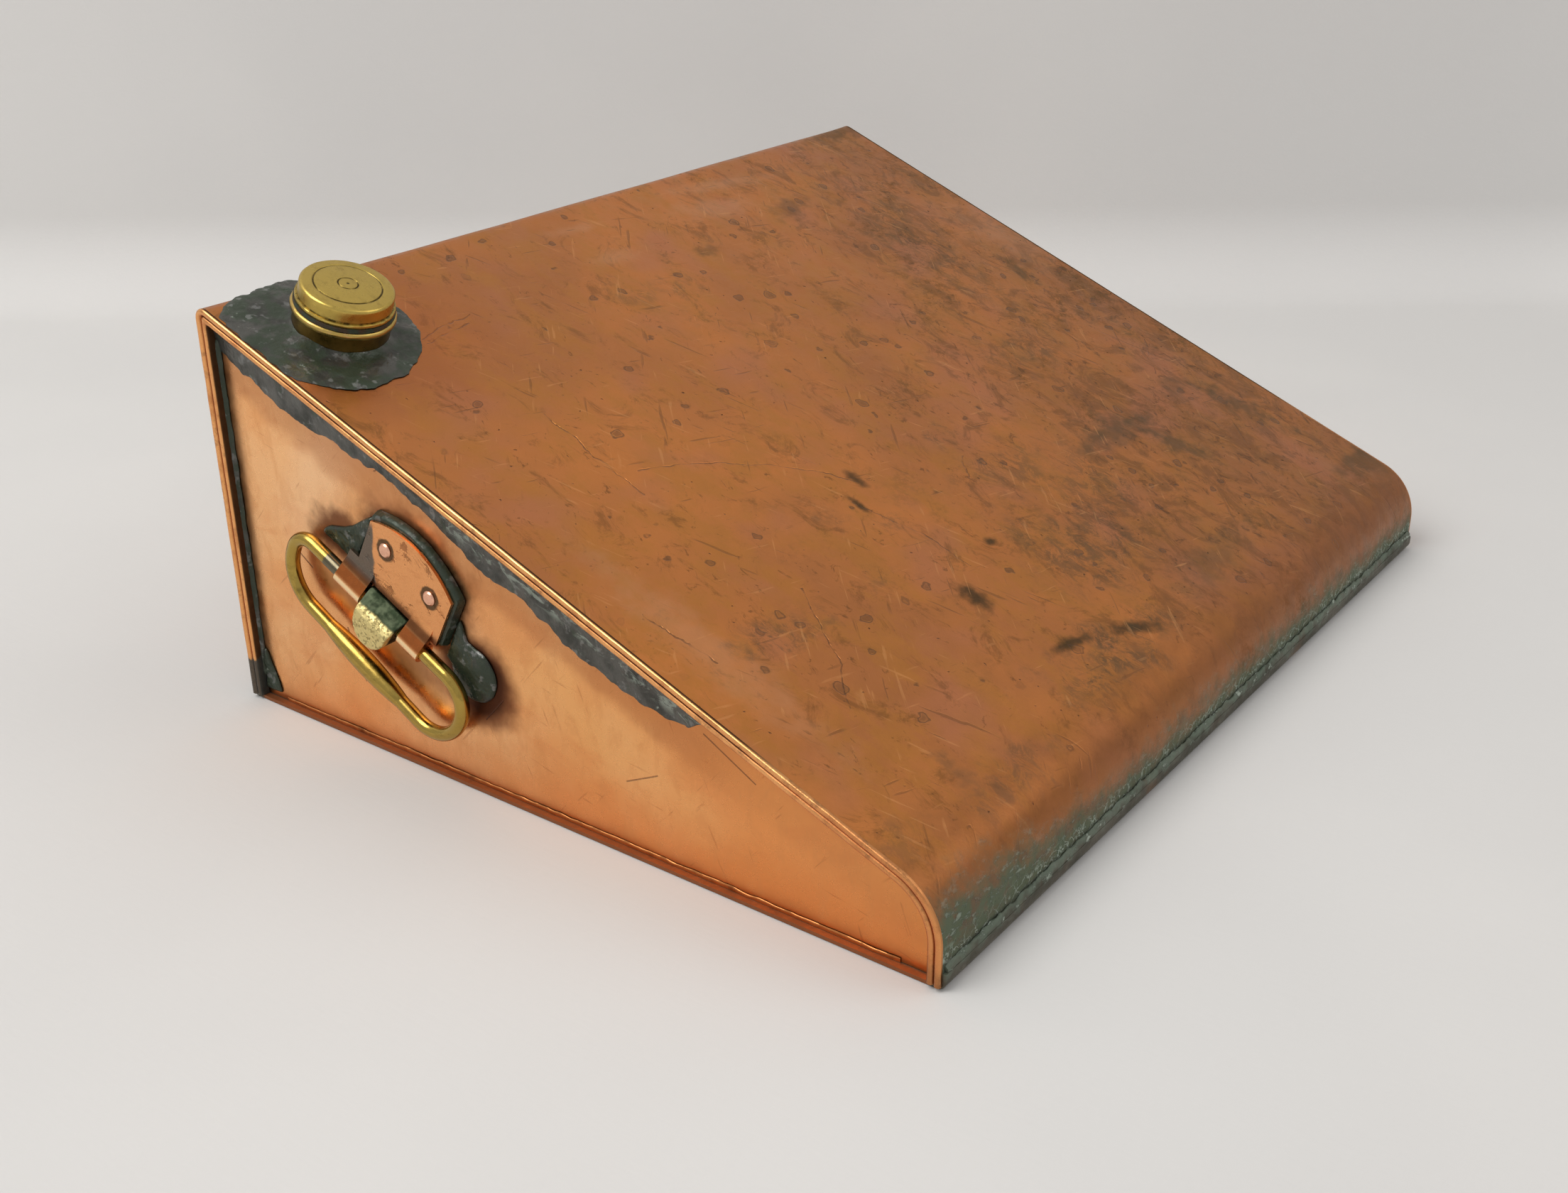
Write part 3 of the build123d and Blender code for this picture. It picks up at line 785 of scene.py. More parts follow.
def solder(name, green, shine=0.0, tone=1.0, rim_crust=False):
    """Old soft solder: dark grey, lumpy, with verdigris and some pale crust."""
    look = Look(name)
    broad = look.noise(9, 4, harsh=0.6)
    colour = look.mix(look.fade(broad, 0.40, 0.66), LEAD, (0.060, 0.060, 0.053))
    verdigris = look.fade(look.noise(7, 5, look.moved(look.point, (31, 7, 0)), harsh=0.6),
                          0.60 - green * 0.35, 0.72 - green * 0.3)
    colour = look.paint(colour, verdigris, 0.85, (0.032, 0.050, 0.026))
    crust = look.fade(look.noise(3.2, 6, look.moved(look.point, (3, 57, 9)), harsh=0.7), 0.61, 0.68)
    patchy = look.fade(look.noise(11, 3, look.moved(look.point, (13, 5, 90))), 0.50, 0.60)
    crust = look.both(crust, patchy)
    if rim_crust:
        scale = look.fade(look.noise(3.4, 7, look.slope, (1, 0.45, 1), bend=0.8, harsh=0.72), 0.50,
                          0.58)
        scale = look.both(scale, look.fade(look.rise, -12.5, -8.5), look.fade(look.down, 95, 120))
        crust = look.either(crust, scale)
    colour = look.paint(colour, crust, 0.55, CRUST)
    rubbed = look.fade(look.noise(4.5, 5, look.moved(look.point, (70, 5, 2))), 0.58, 0.66, 0,
                       0.25 + shine)
    colour = look.mix(rubbed, colour, (0.34, 0.34, 0.33))
    if tone != 1.0:
        colour = look.mix(1.0 - tone, colour, (0.010, 0.016, 0.009))
    level = look.fade(broad, 0.30, 0.70, 0.32 - shine * 0.3, 0.50)
    level = look.plus(level, look.times(crust, 0.3), clamp=True)
    metal = look.minus(0.75, look.times(look.either(crust, look.times(verdigris, 0.7)), 0.6))
    low = look.bump(look.noise(6.5, 5, harsh=0.55), 0.70)
    return look.finish(colour, level, look.bump(look.noise(0.9, 4), 0.04, low), metal)


def brass(name, bright, dark, wear=0.5, level=0.24, pit=0.05, extra=None):
    """Worn brass: yellow where it is rubbed, brown in the hollows."""
    look = Look(name)
    broad = look.noise(9, 6, harsh=0.62)
    tarnish = look.fade(broad, 0.62 - (1 - wear) * 0.22, 0.80 - (1 - wear) * 0.2, 0, 0.75)
    colour = look.mix(tarnish, bright, dark)
    haze = look.fade(look.noise(2.6, 6, stretch=(1, 0.4, 1.0), harsh=0.7), 0.50, 0.66, 0, 0.28)
    colour = look.mix(haze, colour, dark)
    speck = look.fade(look.noise(1.3, 4, harsh=0.7), 0.68, 0.73, 0, 0.6)
    colour = look.mix(speck, colour, (0.05, 0.036, 0.012))
    rough_level = look.fade(look.noise(3, 5), 0.3, 0.7, level, level + 0.13)
    cut = None
    if extra:
        colour, cut = extra(look, colour)
    normal = look.bump(look.noise(1.0, 5, harsh=0.6), pit)
    if cut is not None:
        normal = look.bump(look.minus(1.0, cut), 0.12, normal)
    return look.finish(colour, rough_level, normal)


def turned_rings(look, colour):
    """Two fine circles cut in the stopper's top, and dirt under its flange."""
    away = look.away(look.slope, (NECK.x, NECK_DOWN, 0.0))
    flat = look.vector("MULTIPLY", away, (1.0, 1.0, 0.0))
    r = look.length(flat)
    top = look.fade(look.rise, 16.4, 16.9)
    lines = []
    for circle in (10.9, 3.2):
        gap = look.magnitude(look.minus(r, circle))
        lines.append(look.fade(gap, 0.34, 0.12))
    dot = look.fade(r, 0.7, 0.3)
    cut = look.both(look.either(*lines, dot), top)
    patchy = look.fade(look.noise(3, 4), 0.35, 0.55, 0.55, 0.95)
    colour = look.mix(look.both(cut, patchy), colour, (0.060, 0.040, 0.012))
    band = look.minus(1.0, look.fade(look.magnitude(look.minus(look.rise, 12.55)), 0.10, 0.55))
    band = look.both(band, look.fade(look.noise(2.4, 5, harsh=0.7), 0.42, 0.58, 0.35, 1.0))
    colour = look.paint(colour, band, 0.85, (0.045, 0.035, 0.018))
    return colour, cut


def neck_dirt(look, colour):
    """Dark foot and under-lip of the neck, bright lip."""
    lip = look.fade(look.rise, 6.6, 7.6)
    colour = look.mix(lip, colour, (0.52, 0.36, 0.10))
    pale = look.both(lip, look.fade(look.noise(2.2, 5, harsh=0.7), 0.54, 0.64))
    colour = look.paint(colour, pale, 0.6, (0.62, 0.36, 0.18))
    foot = look.fade(look.waver(look.rise, 3, 4, 4), 4.6, 2.6)
    return look.paint(colour, foot, 0.7, (0.030, 0.026, 0.013)), None


def rivet_rings(look, colour):
    """Dark rings round the rivets, dirt with painted shade of their dishes; painted shade along the
    foot; painted highlight and shade on the knuckles; a grey solder smear at the tall corner.
    """
    u, v, w = look.handle_frame()
    flat = look.join(u, v)
    dirt = None
    # dirt and painted shade: a dark ring round each rivet in its countersunk dish
    for place in ((-8.0, 21.6), (13.2, 20.0)):
        away = look.length(look.away(flat, (*place, 0.0)))
        away = look.waver(away, 1.4, 3, 3)
        mask = look.both(look.fade(away, 5.0, 4.2), look.fade(away, 2.2, 2.6))
        dirt = mask if dirt is None else look.either(dirt, mask)
    colour = look.paint(colour, dirt, 0.88, (0.050, 0.036, 0.020))
    strokes = look.noise(5.5, 7, look.join(u, v, w), (0.5, 1.0, 1), bend=0.7, harsh=0.7)
    strokes = look.both(look.fade(strokes, 0.57, 0.63), look.fade(v, 7, 10))
    colour = look.paint(colour, strokes, 0.6, (0.23, 0.070, 0.022))
    # painted shade along the foot of the plate, in the hollow where it drops to the knuckles
    foot = look.fade(look.waver(v, 7, 7, 4), 14.5, 9.5)
    foot = look.both(foot, look.fade(v, 4.5, 6.0))
    colour = look.paint(colour, foot, 0.60, (0.20, 0.065, 0.022))
    # knuckles: painted highlight bright along the crest, painted shade brown behind it and in the
    # hollow where they join the plate, and a paler painted lit face below
    roll = look.fade(v, 5.4, 4.6)
    colour = look.mix(look.both(roll, look.fade(v, 0.9, 2.0)), colour, (0.42, 0.125, 0.035))
    colour = look.mix(look.both(roll, look.fade(v, -0.9, -1.8)), colour, (0.66, 0.270, 0.105))
    crest = look.fade(look.magnitude(look.minus(v, 0.1)), 1.3, 0.4)
    colour = look.mix(look.both(crest, look.fade(w, 7.0, 7.6)), colour, (1.0, 0.74, 0.42))
    behind = look.both(look.fade(v, 4.4, 5.6), look.fade(v, 9.0, 7.0))
    colour = look.paint(colour, behind, 0.75, (0.13, 0.045, 0.018))
    smear = look.plus(look.times(u, -1.0), look.times(v, -0.42))
    smear = look.waver(smear, 4, 6, 5)
    smear = look.both(look.fade(smear, 6.2, 7.2), look.fade(v, 5.5, 8.5), look.fade(v, 27, 24))
    colour = look.paint(colour, smear, 0.92, (0.115, 0.110, 0.095))
    return colour, strokes


def solder_sleeve(look, colour):
    """Grey smear of solder on the wire beside the tall knuckle."""
    u, v, _ = look.handle_frame()
    away = look.magnitude(look.minus(u, -24.6))
    away = look.waver(away, 1.6, 3, 4)
    sleeve = look.both(look.fade(away, 4.4, 3.7), look.fade(look.magnitude(v), 4, 3))
    return look.paint(colour, sleeve, 0.9, (0.125, 0.115, 0.085)), None


def filed_face(look, colour):
    """Bright hammered face of the stud, and its green ramp and sides."""
    u, v, w = look.handle_frame()
    edge = look.waver(v, 2.4, 4, 4)
    face = look.both(look.fade(w, 8.0, 9.0), look.fade(edge, 3.0, 1.7))
    green = look.mix(look.fade(look.noise(4, 5), 0.42, 0.62), (0.016, 0.022, 0.012),
                     (0.048, 0.058, 0.034))
    colour = look.mix(face, green, colour)
    pits, _ = look.cells(1.25, shake=1.3)
    pits = look.fade(pits, 0.50, 0.24)
    pits = look.both(pits, face, look.fade(look.noise(5, 4), 0.36, 0.52, 0.35, 1.0))
    rub = look.noise(3.6, 5, look.join(u, v, w), (3.0, 0.6, 1), harsh=0.65)
    pits = look.either(pits, look.both(look.fade(rub, 0.60, 0.68), face))
    return look.paint(colour, pits, 0.55, (0.115, 0.085, 0.028)), pits


def crusted(name):
    """Bead and floor tray along the foot: grey-brown, with verdigris and pale crust."""
    look = Look(name)
    broad = look.noise(14, 5, stretch=(0.5, 1, 1), harsh=0.62)
    colour = look.mix(look.fade(broad, 0.36, 0.64), (0.128, 0.112, 0.082), (0.074, 0.070, 0.050))
    copper = look.fade(look.noise(22, 5, look.moved(look.point, (8, 0, 4)), harsh=0.6), 0.56, 0.70,
                       0, 0.35)
    colour = look.mix(copper, colour, (0.27, 0.115, 0.045))
    # heights are taken from the front lap; the back lap stands taller
    high = look.minus(look.z, look.fade(look.y, -10, 10, 0, BACK_LAP_RISE))
    green = look.plus(high, look.times(look.minus(look.noise(6, 5), 0.5), 11))
    green = look.fade(green, 4.0, 8.0)
    colour = look.paint(colour, green, 0.8, (0.110, 0.150, 0.105))
    crust = look.fade(look.noise(3.0, 6, stretch=(0.6, 1, 1), harsh=0.7), 0.55, 0.64)
    crust = look.both(crust, look.fade(high, 4.6, 6.2, 0.10, 1.0))
    colour = look.paint(colour, crust, 0.85, CRUST)
    ends = look.fade(look.magnitude(look.x), SHELL_X - 3.0, SHELL_X - 1.5)
    ends = look.both(ends, look.fade(look.magnitude(look.y), 139, 136))
    colour = look.paint(colour, ends, 0.9, (0.30, 0.100, 0.032))
    level = look.fade(broad, 0.3, 0.7, 0.40, 0.62)
    metal = look.minus(0.7, look.times(look.either(crust, green), 0.6))
    low = look.bump(look.noise(3.2, 5, harsh=0.6), 0.30)
    return look.finish(colour, level, look.bump(crust, 0.30, low), metal)


def leather():
    look = Look("oiled_leather")
    grain, _ = look.cells(0.9, feature="DISTANCE_TO_EDGE")
    green = look.fade(look.noise(4, 4), 0.45, 0.6)
    colour = look.mix(green, (0.050, 0.030, 0.016), (0.030, 0.045, 0.026))
    return look.finish(colour, look.fade(look.noise(2, 3), 0.3, 0.7, 0.55, 0.75),
                       look.bump(grain, 0.08), 0.0)


def cloth():
    """Pale plain cloth under the object."""
    look = Look("pale_cloth")
    weave = look.plus(look.noise(1.6, 2, stretch=(1, 0.15, 1)),
                      look.noise(1.6, 2, stretch=(0.15, 1, 1)))
    colour = look.mix(look.fade(look.noise(320, 3), 0.35, 0.65), (0.665, 0.653, 0.636),
                      (0.632, 0.622, 0.608))
    return look.finish(colour, 0.95, look.bump(weave, 0.05), 0.0)


aged = aged_copper()
polished = polished_copper()
rim = rim_copper()
tray = crusted("tray_patina")
dark_solder = solder("dark_solder", 0.1, 0.15, 0.9, True)
green_solder = solder("green_solder", 0.55, 0.2, 0.85)
edge_solder = solder("edge_solder", 0.75, 0.2, 0.62)
pad_solder = solder("pad_solder", 0.80, 0.45, 0.52)
bail_brass = brass("bail_brass", (0.44, 0.300, 0.070), (0.150, 0.095, 0.024), 0.86, 0.15, 0.010,
                   solder_sleeve)
neck_brass = brass("neck_brass", (0.25, 0.150, 0.035), (0.090, 0.058, 0.018), 0.65, 0.26, 0.03,
                   neck_dirt)
cap_brass = brass("cap_brass", (0.560, 0.400, 0.098), (0.27, 0.175, 0.042), 0.85, 0.25, 0.020,
                  turned_rings)
stud_brass = brass("stud_brass", (0.74, 0.60, 0.26), (0.36, 0.28, 0.09), 0.9, 0.30, 0.04, filed_face)
plate_copper = brass("plate_copper", (0.84, 0.375, 0.145), (0.50, 0.175, 0.055), 0.85, 0.20, 0.010,
                     rivet_rings)
rivet_copper = brass("rivet_copper", (0.90, 0.50, 0.34), (0.55, 0.25, 0.14), 0.95, 0.24, 0.02)
foot_copper = brass("foot_copper", (0.58, 0.225, 0.075), (0.20, 0.075, 0.028), 0.70, 0.30, 0.04)
washer_leather = leather()


# ---- the tank -----------------------------------------------------------------------
def build_wrapper():
    rows, cols = 210, 160
    line, normals = wedge_line(0, FOOT, rows)
    hole = 14.4
    outer, inner, flat = [], [], []
    for p, n in zip(line, normals):
        high, low, places = [], [], []
        for j in range(cols + 1):
            x = -SHELL_X + 2 * SHELL_X * j / cols
            edge = min(1.0, (SHELL_X - abs(x)) / 12)
            dent = 0.03 + edge * (0.16 + 0.14 * rough((x, p.x, p.y), 60, 1.0, 2))
            dent += edge * 0.25 * max(0.0, rough((x, p.x, p.y), 33, 5.0, 1) - 0.28)
            dent = max(dent, 0.02)
            high.append(Vector((x, p.x - n.x * dent, p.y - n.y * dent)))
            low.append(Vector((x, p.x - n.x * SHEET, p.y - n.y * SHEET)))
            away = Vector((0, p.x, p.y)) - EDGE
            places.append(Vector((x - NECK.x, away.dot(DOWN) - NECK_DOWN)))
        outer.append(high)
        inner.append(low)
        flat.append(places)
    def open_cell(i, j):
        if normals[i].y < 0.8:
            return False
        return (flat[i][j] + flat[i + 1][j + 1]).length / 2 < hole
    gone = {(i, j) for i in range(rows) for j in range(cols) if open_cell(i, j)}
    rim_of_hole = {(i + a, j + b) for i, j in gone for a in (0, 1) for b in (0, 1)
                   if not all((i + a - c, j + b - d) in gone for c in (0, 1) for d in (0, 1))}
    for i, j in rim_of_hole:
        f = flat[i][j]
        shift = f * (hole / f.length) - f
        move = Vector((shift.x, 0, 0)) + DOWN * shift.y
        outer[i][j] = outer[i][j] + move
        inner[i][j] = inner[i][j] + move
    verts, faces = plate(outer, inner, keep=lambda i, j: (i, j) not in gone)
    finish_mesh("foot_rest_sheet", verts, faces, aged, "tank", ["wrapper_sheet"])


def build_rim(side, node):
    profile = [(0.02, 178.5), (0.0, 179.3), (0.22, 179.72), (0.65, 179.96), (1.2, 179.99),
               (1.75, 179.8),
               (2.12, 179.35), (2.35, 178.75), (2.58, 179.2), (2.95, 179.6), (3.5, 179.75),
               (4.05, 179.6),
               (4.55, 179.15), (4.78, 178.5), (4.8, 176.06), (1.36, 176.06), (1.36, 178.5)]
    count = 380
    lines = [wedge_line(inset, seam_low.z, count)[0] for inset, _ in profile]
    verts = []
    for i in range(count + 1):
        for k, (inset, x) in enumerate(profile):
            p = lines[k][i]
            wear = 0.0
            if x > 178.6:
                wear = 0.13 * (1 + rough((side * 50, p.x, p.y), 14, 2.0)) * (x - 178.5) / 1.5
            verts.append(Vector((side * (x - wear), p.x, p.y)))
    finish_mesh(node + "_fold", verts, swept_faces(count, len(profile)), rim, "tank", [node])


def build_panel(side, node):
    inset = 1.38
    line, _ = wedge_line(inset, PANEL_FOOT, 900)
    rows, cols = 130, 64
    outer, inner = [], []
    front, back = FRONT + inset, BACK - inset
    stations = sorted({round(p.x, 1) for p in line})
    heights = [(y, max(p.y for p in line if abs(p.x - y) < 0.06)) for y in stations]
    for i in range(rows + 1):
        y = front + (back - front) * i / rows
        top = along_straight(heights, y)
        floor = PANEL_FOOT + max(0.0, PANEL_CORNER - min(y - front, back - y))
        high, low = [], []
        for j in range(cols + 1):
            z = floor + (top - floor) * j / cols
            dent = 0.20 + 0.18 * rough((0, y, z), 48, 7.0 + side, 2)
            high.append(Vector((side * (PANEL_X - max(dent, 0.02)), y, z)))
            low.append(Vector((side * (PANEL_X - SHEET), y, z)))
        outer.append(high)
        inner.append(low)
    verts, faces = plate(outer, inner)
    finish_mesh(node + "_sheet", verts, faces, polished, "tank", [node])


BORDER_HANDLE = [(2, 12.5), (12, 13), (25, 14.6), (40, 15.4), (52, 15.2), (68, 12.5), (92, 10.9),
                 (105, 11.6),
                 (118, 13.2), (132, 15.5), (150, 14.6), (160, 15.5), (173, 17.8), (182, 16.4),
                 (192, 17.0),
                 (208, 14.5), (216, 11.5), (221, 7.5)]
BORDER_PLAIN = [(2, 11), (30, 13), (70, 10), (110, 14), (150, 11.5), (190, 13), (214, 10), (221, 7)]


def build_top_solder(side, node, table):
    def place(d, w, h):
        p = EDGE + DOWN * d - UP * w
        return Vector((side * (PANEL_X + h), p.y, p.z))
    def border(d):
        return along_table(table, d) + 1.1 * rough((d, 0, side), 10,
                                                   2.0) + 0.45 * rough((d, 3, side), 3.2, 2.0)
    def height(d, t):
        lumps = 0.26 * rough((d, t * 9, side), 9.0, 9.0, 2) + 0.07 * rough((d, t * 9, side), 3.0,
                                                                           9.0, 2)
        return max(0.12, 0.28 + 1.15 * (1 - t) ** 1.7 + lumps)
    verts, faces = strip((4.0, 221.0), border, 4.5, place, height, 430, 18)
    finish_mesh(node + "_run", verts, faces, dark_solder, "tank", [node])


def build_back_solder(side, node):
    def place(z, w, h):
        return Vector((side * (PANEL_X + h), BACK - w, z))
    def border(z):
        return 5.9 + 0.4 * rough((z, 0, side), 6, 4.0)
    verts, faces = strip((8.0, 130.0), border, 4.6, place, 
                         lambda z, t: 0.30 + 1.0 * (1 - t) + 0.16 * rough((z, t, 0), 3), 240, 8)
    finish_mesh(node + "_run", verts, faces, edge_solder, "tank", [node])


def build_foot_solder(side, node):
    def place(y, w, h):
        return Vector((side * (PANEL_X + h), y, w))
    def border(y):
        return 2.55 + 0.3 * rough((y, 0, side), 7, 5.0)
    verts, faces = strip((-127.0, 127.0), border, 1.28, place, lambda y,
                         t: 0.30 + 0.12 * rough((y, t, 0), 4), 300, 6)
    finish_mesh(node + "_run", verts, faces, foot_copper, "tank", [node])


def build_corner_solder(side, node):
    def place(y, z, h):
        return Vector((side * (PANEL_X + min(h, 1.45)), y, z))
    outline = [(136.9, 3.4), (136.9, 18.2), (135.2, 19.4), (133.0, 14.0), (130.6, 8.0), (129.4, 3.4)]
    verts, faces = puddle(outline, (134.4, 9.0), place, lambda y, z,
                          r: 0.9 + 0.35 * rough((y, z, side), 4, 6.0))
    finish_mesh(node + "_patch", verts, faces, edge_solder, "tank", [node])


def build_lap_solder(front, node):
    face = tray_low.y if front else tray_high.y
    wall = FRONT if front else BACK
    inward = 1 if front else -1
    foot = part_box(node)[0].z / MM
    rows, around = 420, 7
    verts = []
    for i in range(rows + 1):
        x = (SHELL_X - 1.2) * (2 * i / rows - 1)
        tall = 2.3 + 0.9 * rough((x, 0, inward), 5, 8.0)
        fat = abs(face - wall) - 0.06
        for k in range(around + 1):
            t = math.pi / 2 * k / around
            bump = 1 + 0.16 * rough((x, t * 4, inward), 2.6, 3.0)
            y = wall - inward * fat * min(1.0, math.cos(t) * bump)
            verts.append(Vector((x, y, foot + max(0.25, tall * math.sin(t) * bump) * (k > 0))))
        verts.append(Vector((x, wall + inward * 0.3, foot + 0.02)))
    finish_mesh(node + "_bead", verts, swept_faces(rows, around + 2), tray, "tank", [node])


build_wrapper()
for side, end, table in ((-1, "handle_end", BORDER_HANDLE), (1, "plain_end", BORDER_PLAIN)):
    build_rim(side, end + "_rim_seam")
    build_panel(side, end + "_panel")
    build_top_solder(side, end + "_top_solder", table)
    build_back_solder(side, end + "_back_solder")
    build_foot_solder(side, end + "_foot_solder")
    build_corner_solder(side, end + "_corner_solder")
build_lap_solder(True, "front_lap_solder")
build_lap_solder(False, "back_lap_solder")


# ---- filler neck and stopper --------------------------------------------------------
def at_neck(x, y, rise):
    """Point by the filler neck: x across, y up the slope, rise above the sheet."""
    return NECK + Vector((x, 0, 0)) - DOWN * y + UP * rise


def build_neck():
    profile = [(13.0, -4.0), (15.7, -4.0), (15.7, -1), (15.7, 1.2), (15.7, 2.4), (15.68, 4.2),
               (15.7, 6.0),
               (15.95, 6.9), (16.55, 7.25), (17.0, 7.6), (17.15, 8.2), (17.1, 8.9), (16.8, 9.35),
               (16.2, 9.58),
               (15.0, 9.58), (13.7, 9.56), (13.1, 9.2), (13.0, 8.6), (13.0, 4), (13.0, 0)]
    def wobble(r, h, turn):
        if r > 15.9:
            spot = (math.cos(turn) * 3, math.sin(turn) * 3, h / 3)
            return r - 0.16 * (1 + rough(spot, 1, 4.0)), h - 0.10 * (1 + rough(spot, 0.7,
                                                                               9.0)) * (h > 7.4)
        return r, h
    verts, faces = lathe(profile, at_neck, 160, wobble)
    finish_mesh("filler_neck_turned", verts, faces, neck_brass, "tank", ["filler_neck"])


def build_apron():
    outline = [(27, 0), (24, -12), (16, -22), (4, -28.5), (-13, -30), (-24, -24), (-31.4, -14),
               (-31.6, 14),
               (-31, 22), (-23, 28), (-8, 30.2), (3, 30.2), (14, 24), (24, 12)]
    def height(x, y, r):
        near = max(0.0, 1 - (r - 15.75) / 4.0)
        lumps = 0.30 * rough((x, y, 0), 8, 6.0, 2) + 0.08 * rough((x, y, 0), 2.4, 2.0, 2)
        blob = 0.9 * math.exp(-((x + 17.5) ** 2 + (y + 3.0) ** 2) / 14)
        blob += 0.5 * math.exp(-((x - 19) ** 2 + (y + 9) ** 2) / 9)
        return max(0.22, 0.55 + lumps + 0.45 * max(0.0,
                                                   1 - (r - 15.75) / 12) + 1.2 * near ** 2 + blob)
    verts, faces = puddle(outline, (0, 0), at_neck, height, 40, 280, 15.75, 7, 0.024, soft=7.5)
    finish_mesh("neck_solder_pool", verts, faces, green_solder, "tank", ["neck_solder_apron"])


def build_stopper():
    seat, pitch, crest, root = 11.0, 2.0, 12.5, 11.5
    foot = seat - 10.2
    top = seat + 6.22
    rows = [(0.0, foot), (6, foot), (root, foot)]
    step = 0.2
    count = int(8.6 / step)
    rows += [(root, foot + 0.5 + step * k) for k in range(count)]
    rows += [(root, seat - 0.02), (15.9, seat - 0.02), (16.08, seat + 0.15), (16.1, seat + 0.7),
             (16.0, seat + 1.15), (15.7, seat + 1.3), (15.32, seat + 1.36), (15.3, seat + 2.2),
             (15.28, seat + 3.6), (15.3, top - 1.2), (15.25, top - 0.75), (14.9, top - 0.3),
             (14.45, top + 0.0)]
    grooves = ((10.9, 0.24), (3.2, 0.24))
    radius = 14.2
    while radius > 0.3:
        depth = max(0.0, *(0.22 * (1 - abs(radius - r) / w) for r, w in grooves))
        rows.append((radius, top + 0.62 * (1 - (radius / 14.3) ** 2) - depth))
        radius -= 0.12 if any(abs(radius - r) < 0.5 for r, _ in grooves) else 0.55
    rows += [(0.45, top + 0.55), (0.0, top + 0.40)]
    def wobble(r, h, turn):
        if r == root and foot + 0.4 < h < seat - 1.2:
            phase = (h / pitch - turn / (2 * math.pi)) % 1.0
            return root + (crest - root) * (1 - abs(2 * phase - 1)), h
        if r > 14.0:
            spot = (math.cos(turn) * 4, math.sin(turn) * 4, h / 4)
            return r - 0.05 * (1 + rough(spot, 1, 2.0)), h
        return r, h
    verts, faces = lathe(rows, at_neck, 160, wobble)
    finish_mesh("stopper_turned", verts, faces, cap_brass, "stopper", ["screw_stopper"])


build_neck()
build_apron()
build_stopper()


# ---- handle -------------------------------------------------------------------------
def arched(left, right, foot, shoulder_left, shoulder_right, crown, bow=14):
    """Outline of a plate with straight sides and an arched top."""
    points = [(left, foot), (right, foot)]
    peak = Vector((crown[0], 2 * crown[1] - (shoulder_left + shoulder_right) / 2))
    for k in range(bow + 1):
        t = k / bow
        a = Vector((right, shoulder_right)).lerp(peak, t)
        b = peak.lerp(Vector((left, shoulder_left)), t)
        points.append(tuple(a.lerp(b, t)))
    return points


def build_bracket():
    outline = arched(-18.5, 23.3, 5.5, 28.4, 26.0, (1.5, 33.3))
    def height(u, v, r):
        return 2.82 + 0.10 * rough((u, v, 0), 5, 3.0, 2)
    verts, faces = puddle(outline, (2.2, 18), on_handle, height, 30, 260, 0.0, 1, 0.008, soft=1.3,
                          wall=0.25)
    finish_mesh("handle_bracket_plate", verts, faces, edge_solder, "tank", ["handle_bracket"])


def build_solder_pads():
    ear = [(-18.8, 25.4), (-18.8, 3.2), (-28, 3.1), (-36.9, 3.2), (-34.6, 7.0), (-30, 10.4),
           (-26, 14.6), (-22.4, 20.6)]
    def ear_height(u, v, r):
        return 0.9 + 0.35 * rough((u, v, 0), 4, 1.0) + 0.45 * smooth((u + 30) / 12)
    verts, faces = puddle(ear, (-22.5, 8.0), on_handle, ear_height, blur=2, ragged=0.02)
    finish_mesh("bracket_ear", verts, faces, pad_solder, "tank", ["bracket_solder_ear"])
    lobe = [(35.7 + 9.4 * math.cos(a / 20 * math.pi),
             4.4 + 9.4 * math.sin(a / 20 * math.pi)) for a in range(-16, 13)]
    lobe += [(28.4, 13.2), (25.6, 17.2), (23.6, 20.0), (23.6, 2.2), (26.4, 1.5)]
    def lobe_height(u, v, r):
        return 0.95 + 0.55 * max(0.0, 1 - r / 8) ** 0.7 + 0.14 * rough((u, v, 0), 5, 1.0)
    verts, faces = puddle(lobe, (34.0, 5.0), on_handle, lobe_height, blur=2, ragged=0.012)
    finish_mesh("bracket_lobe", verts, faces, pad_solder, "tank", ["bracket_solder_lobe"])


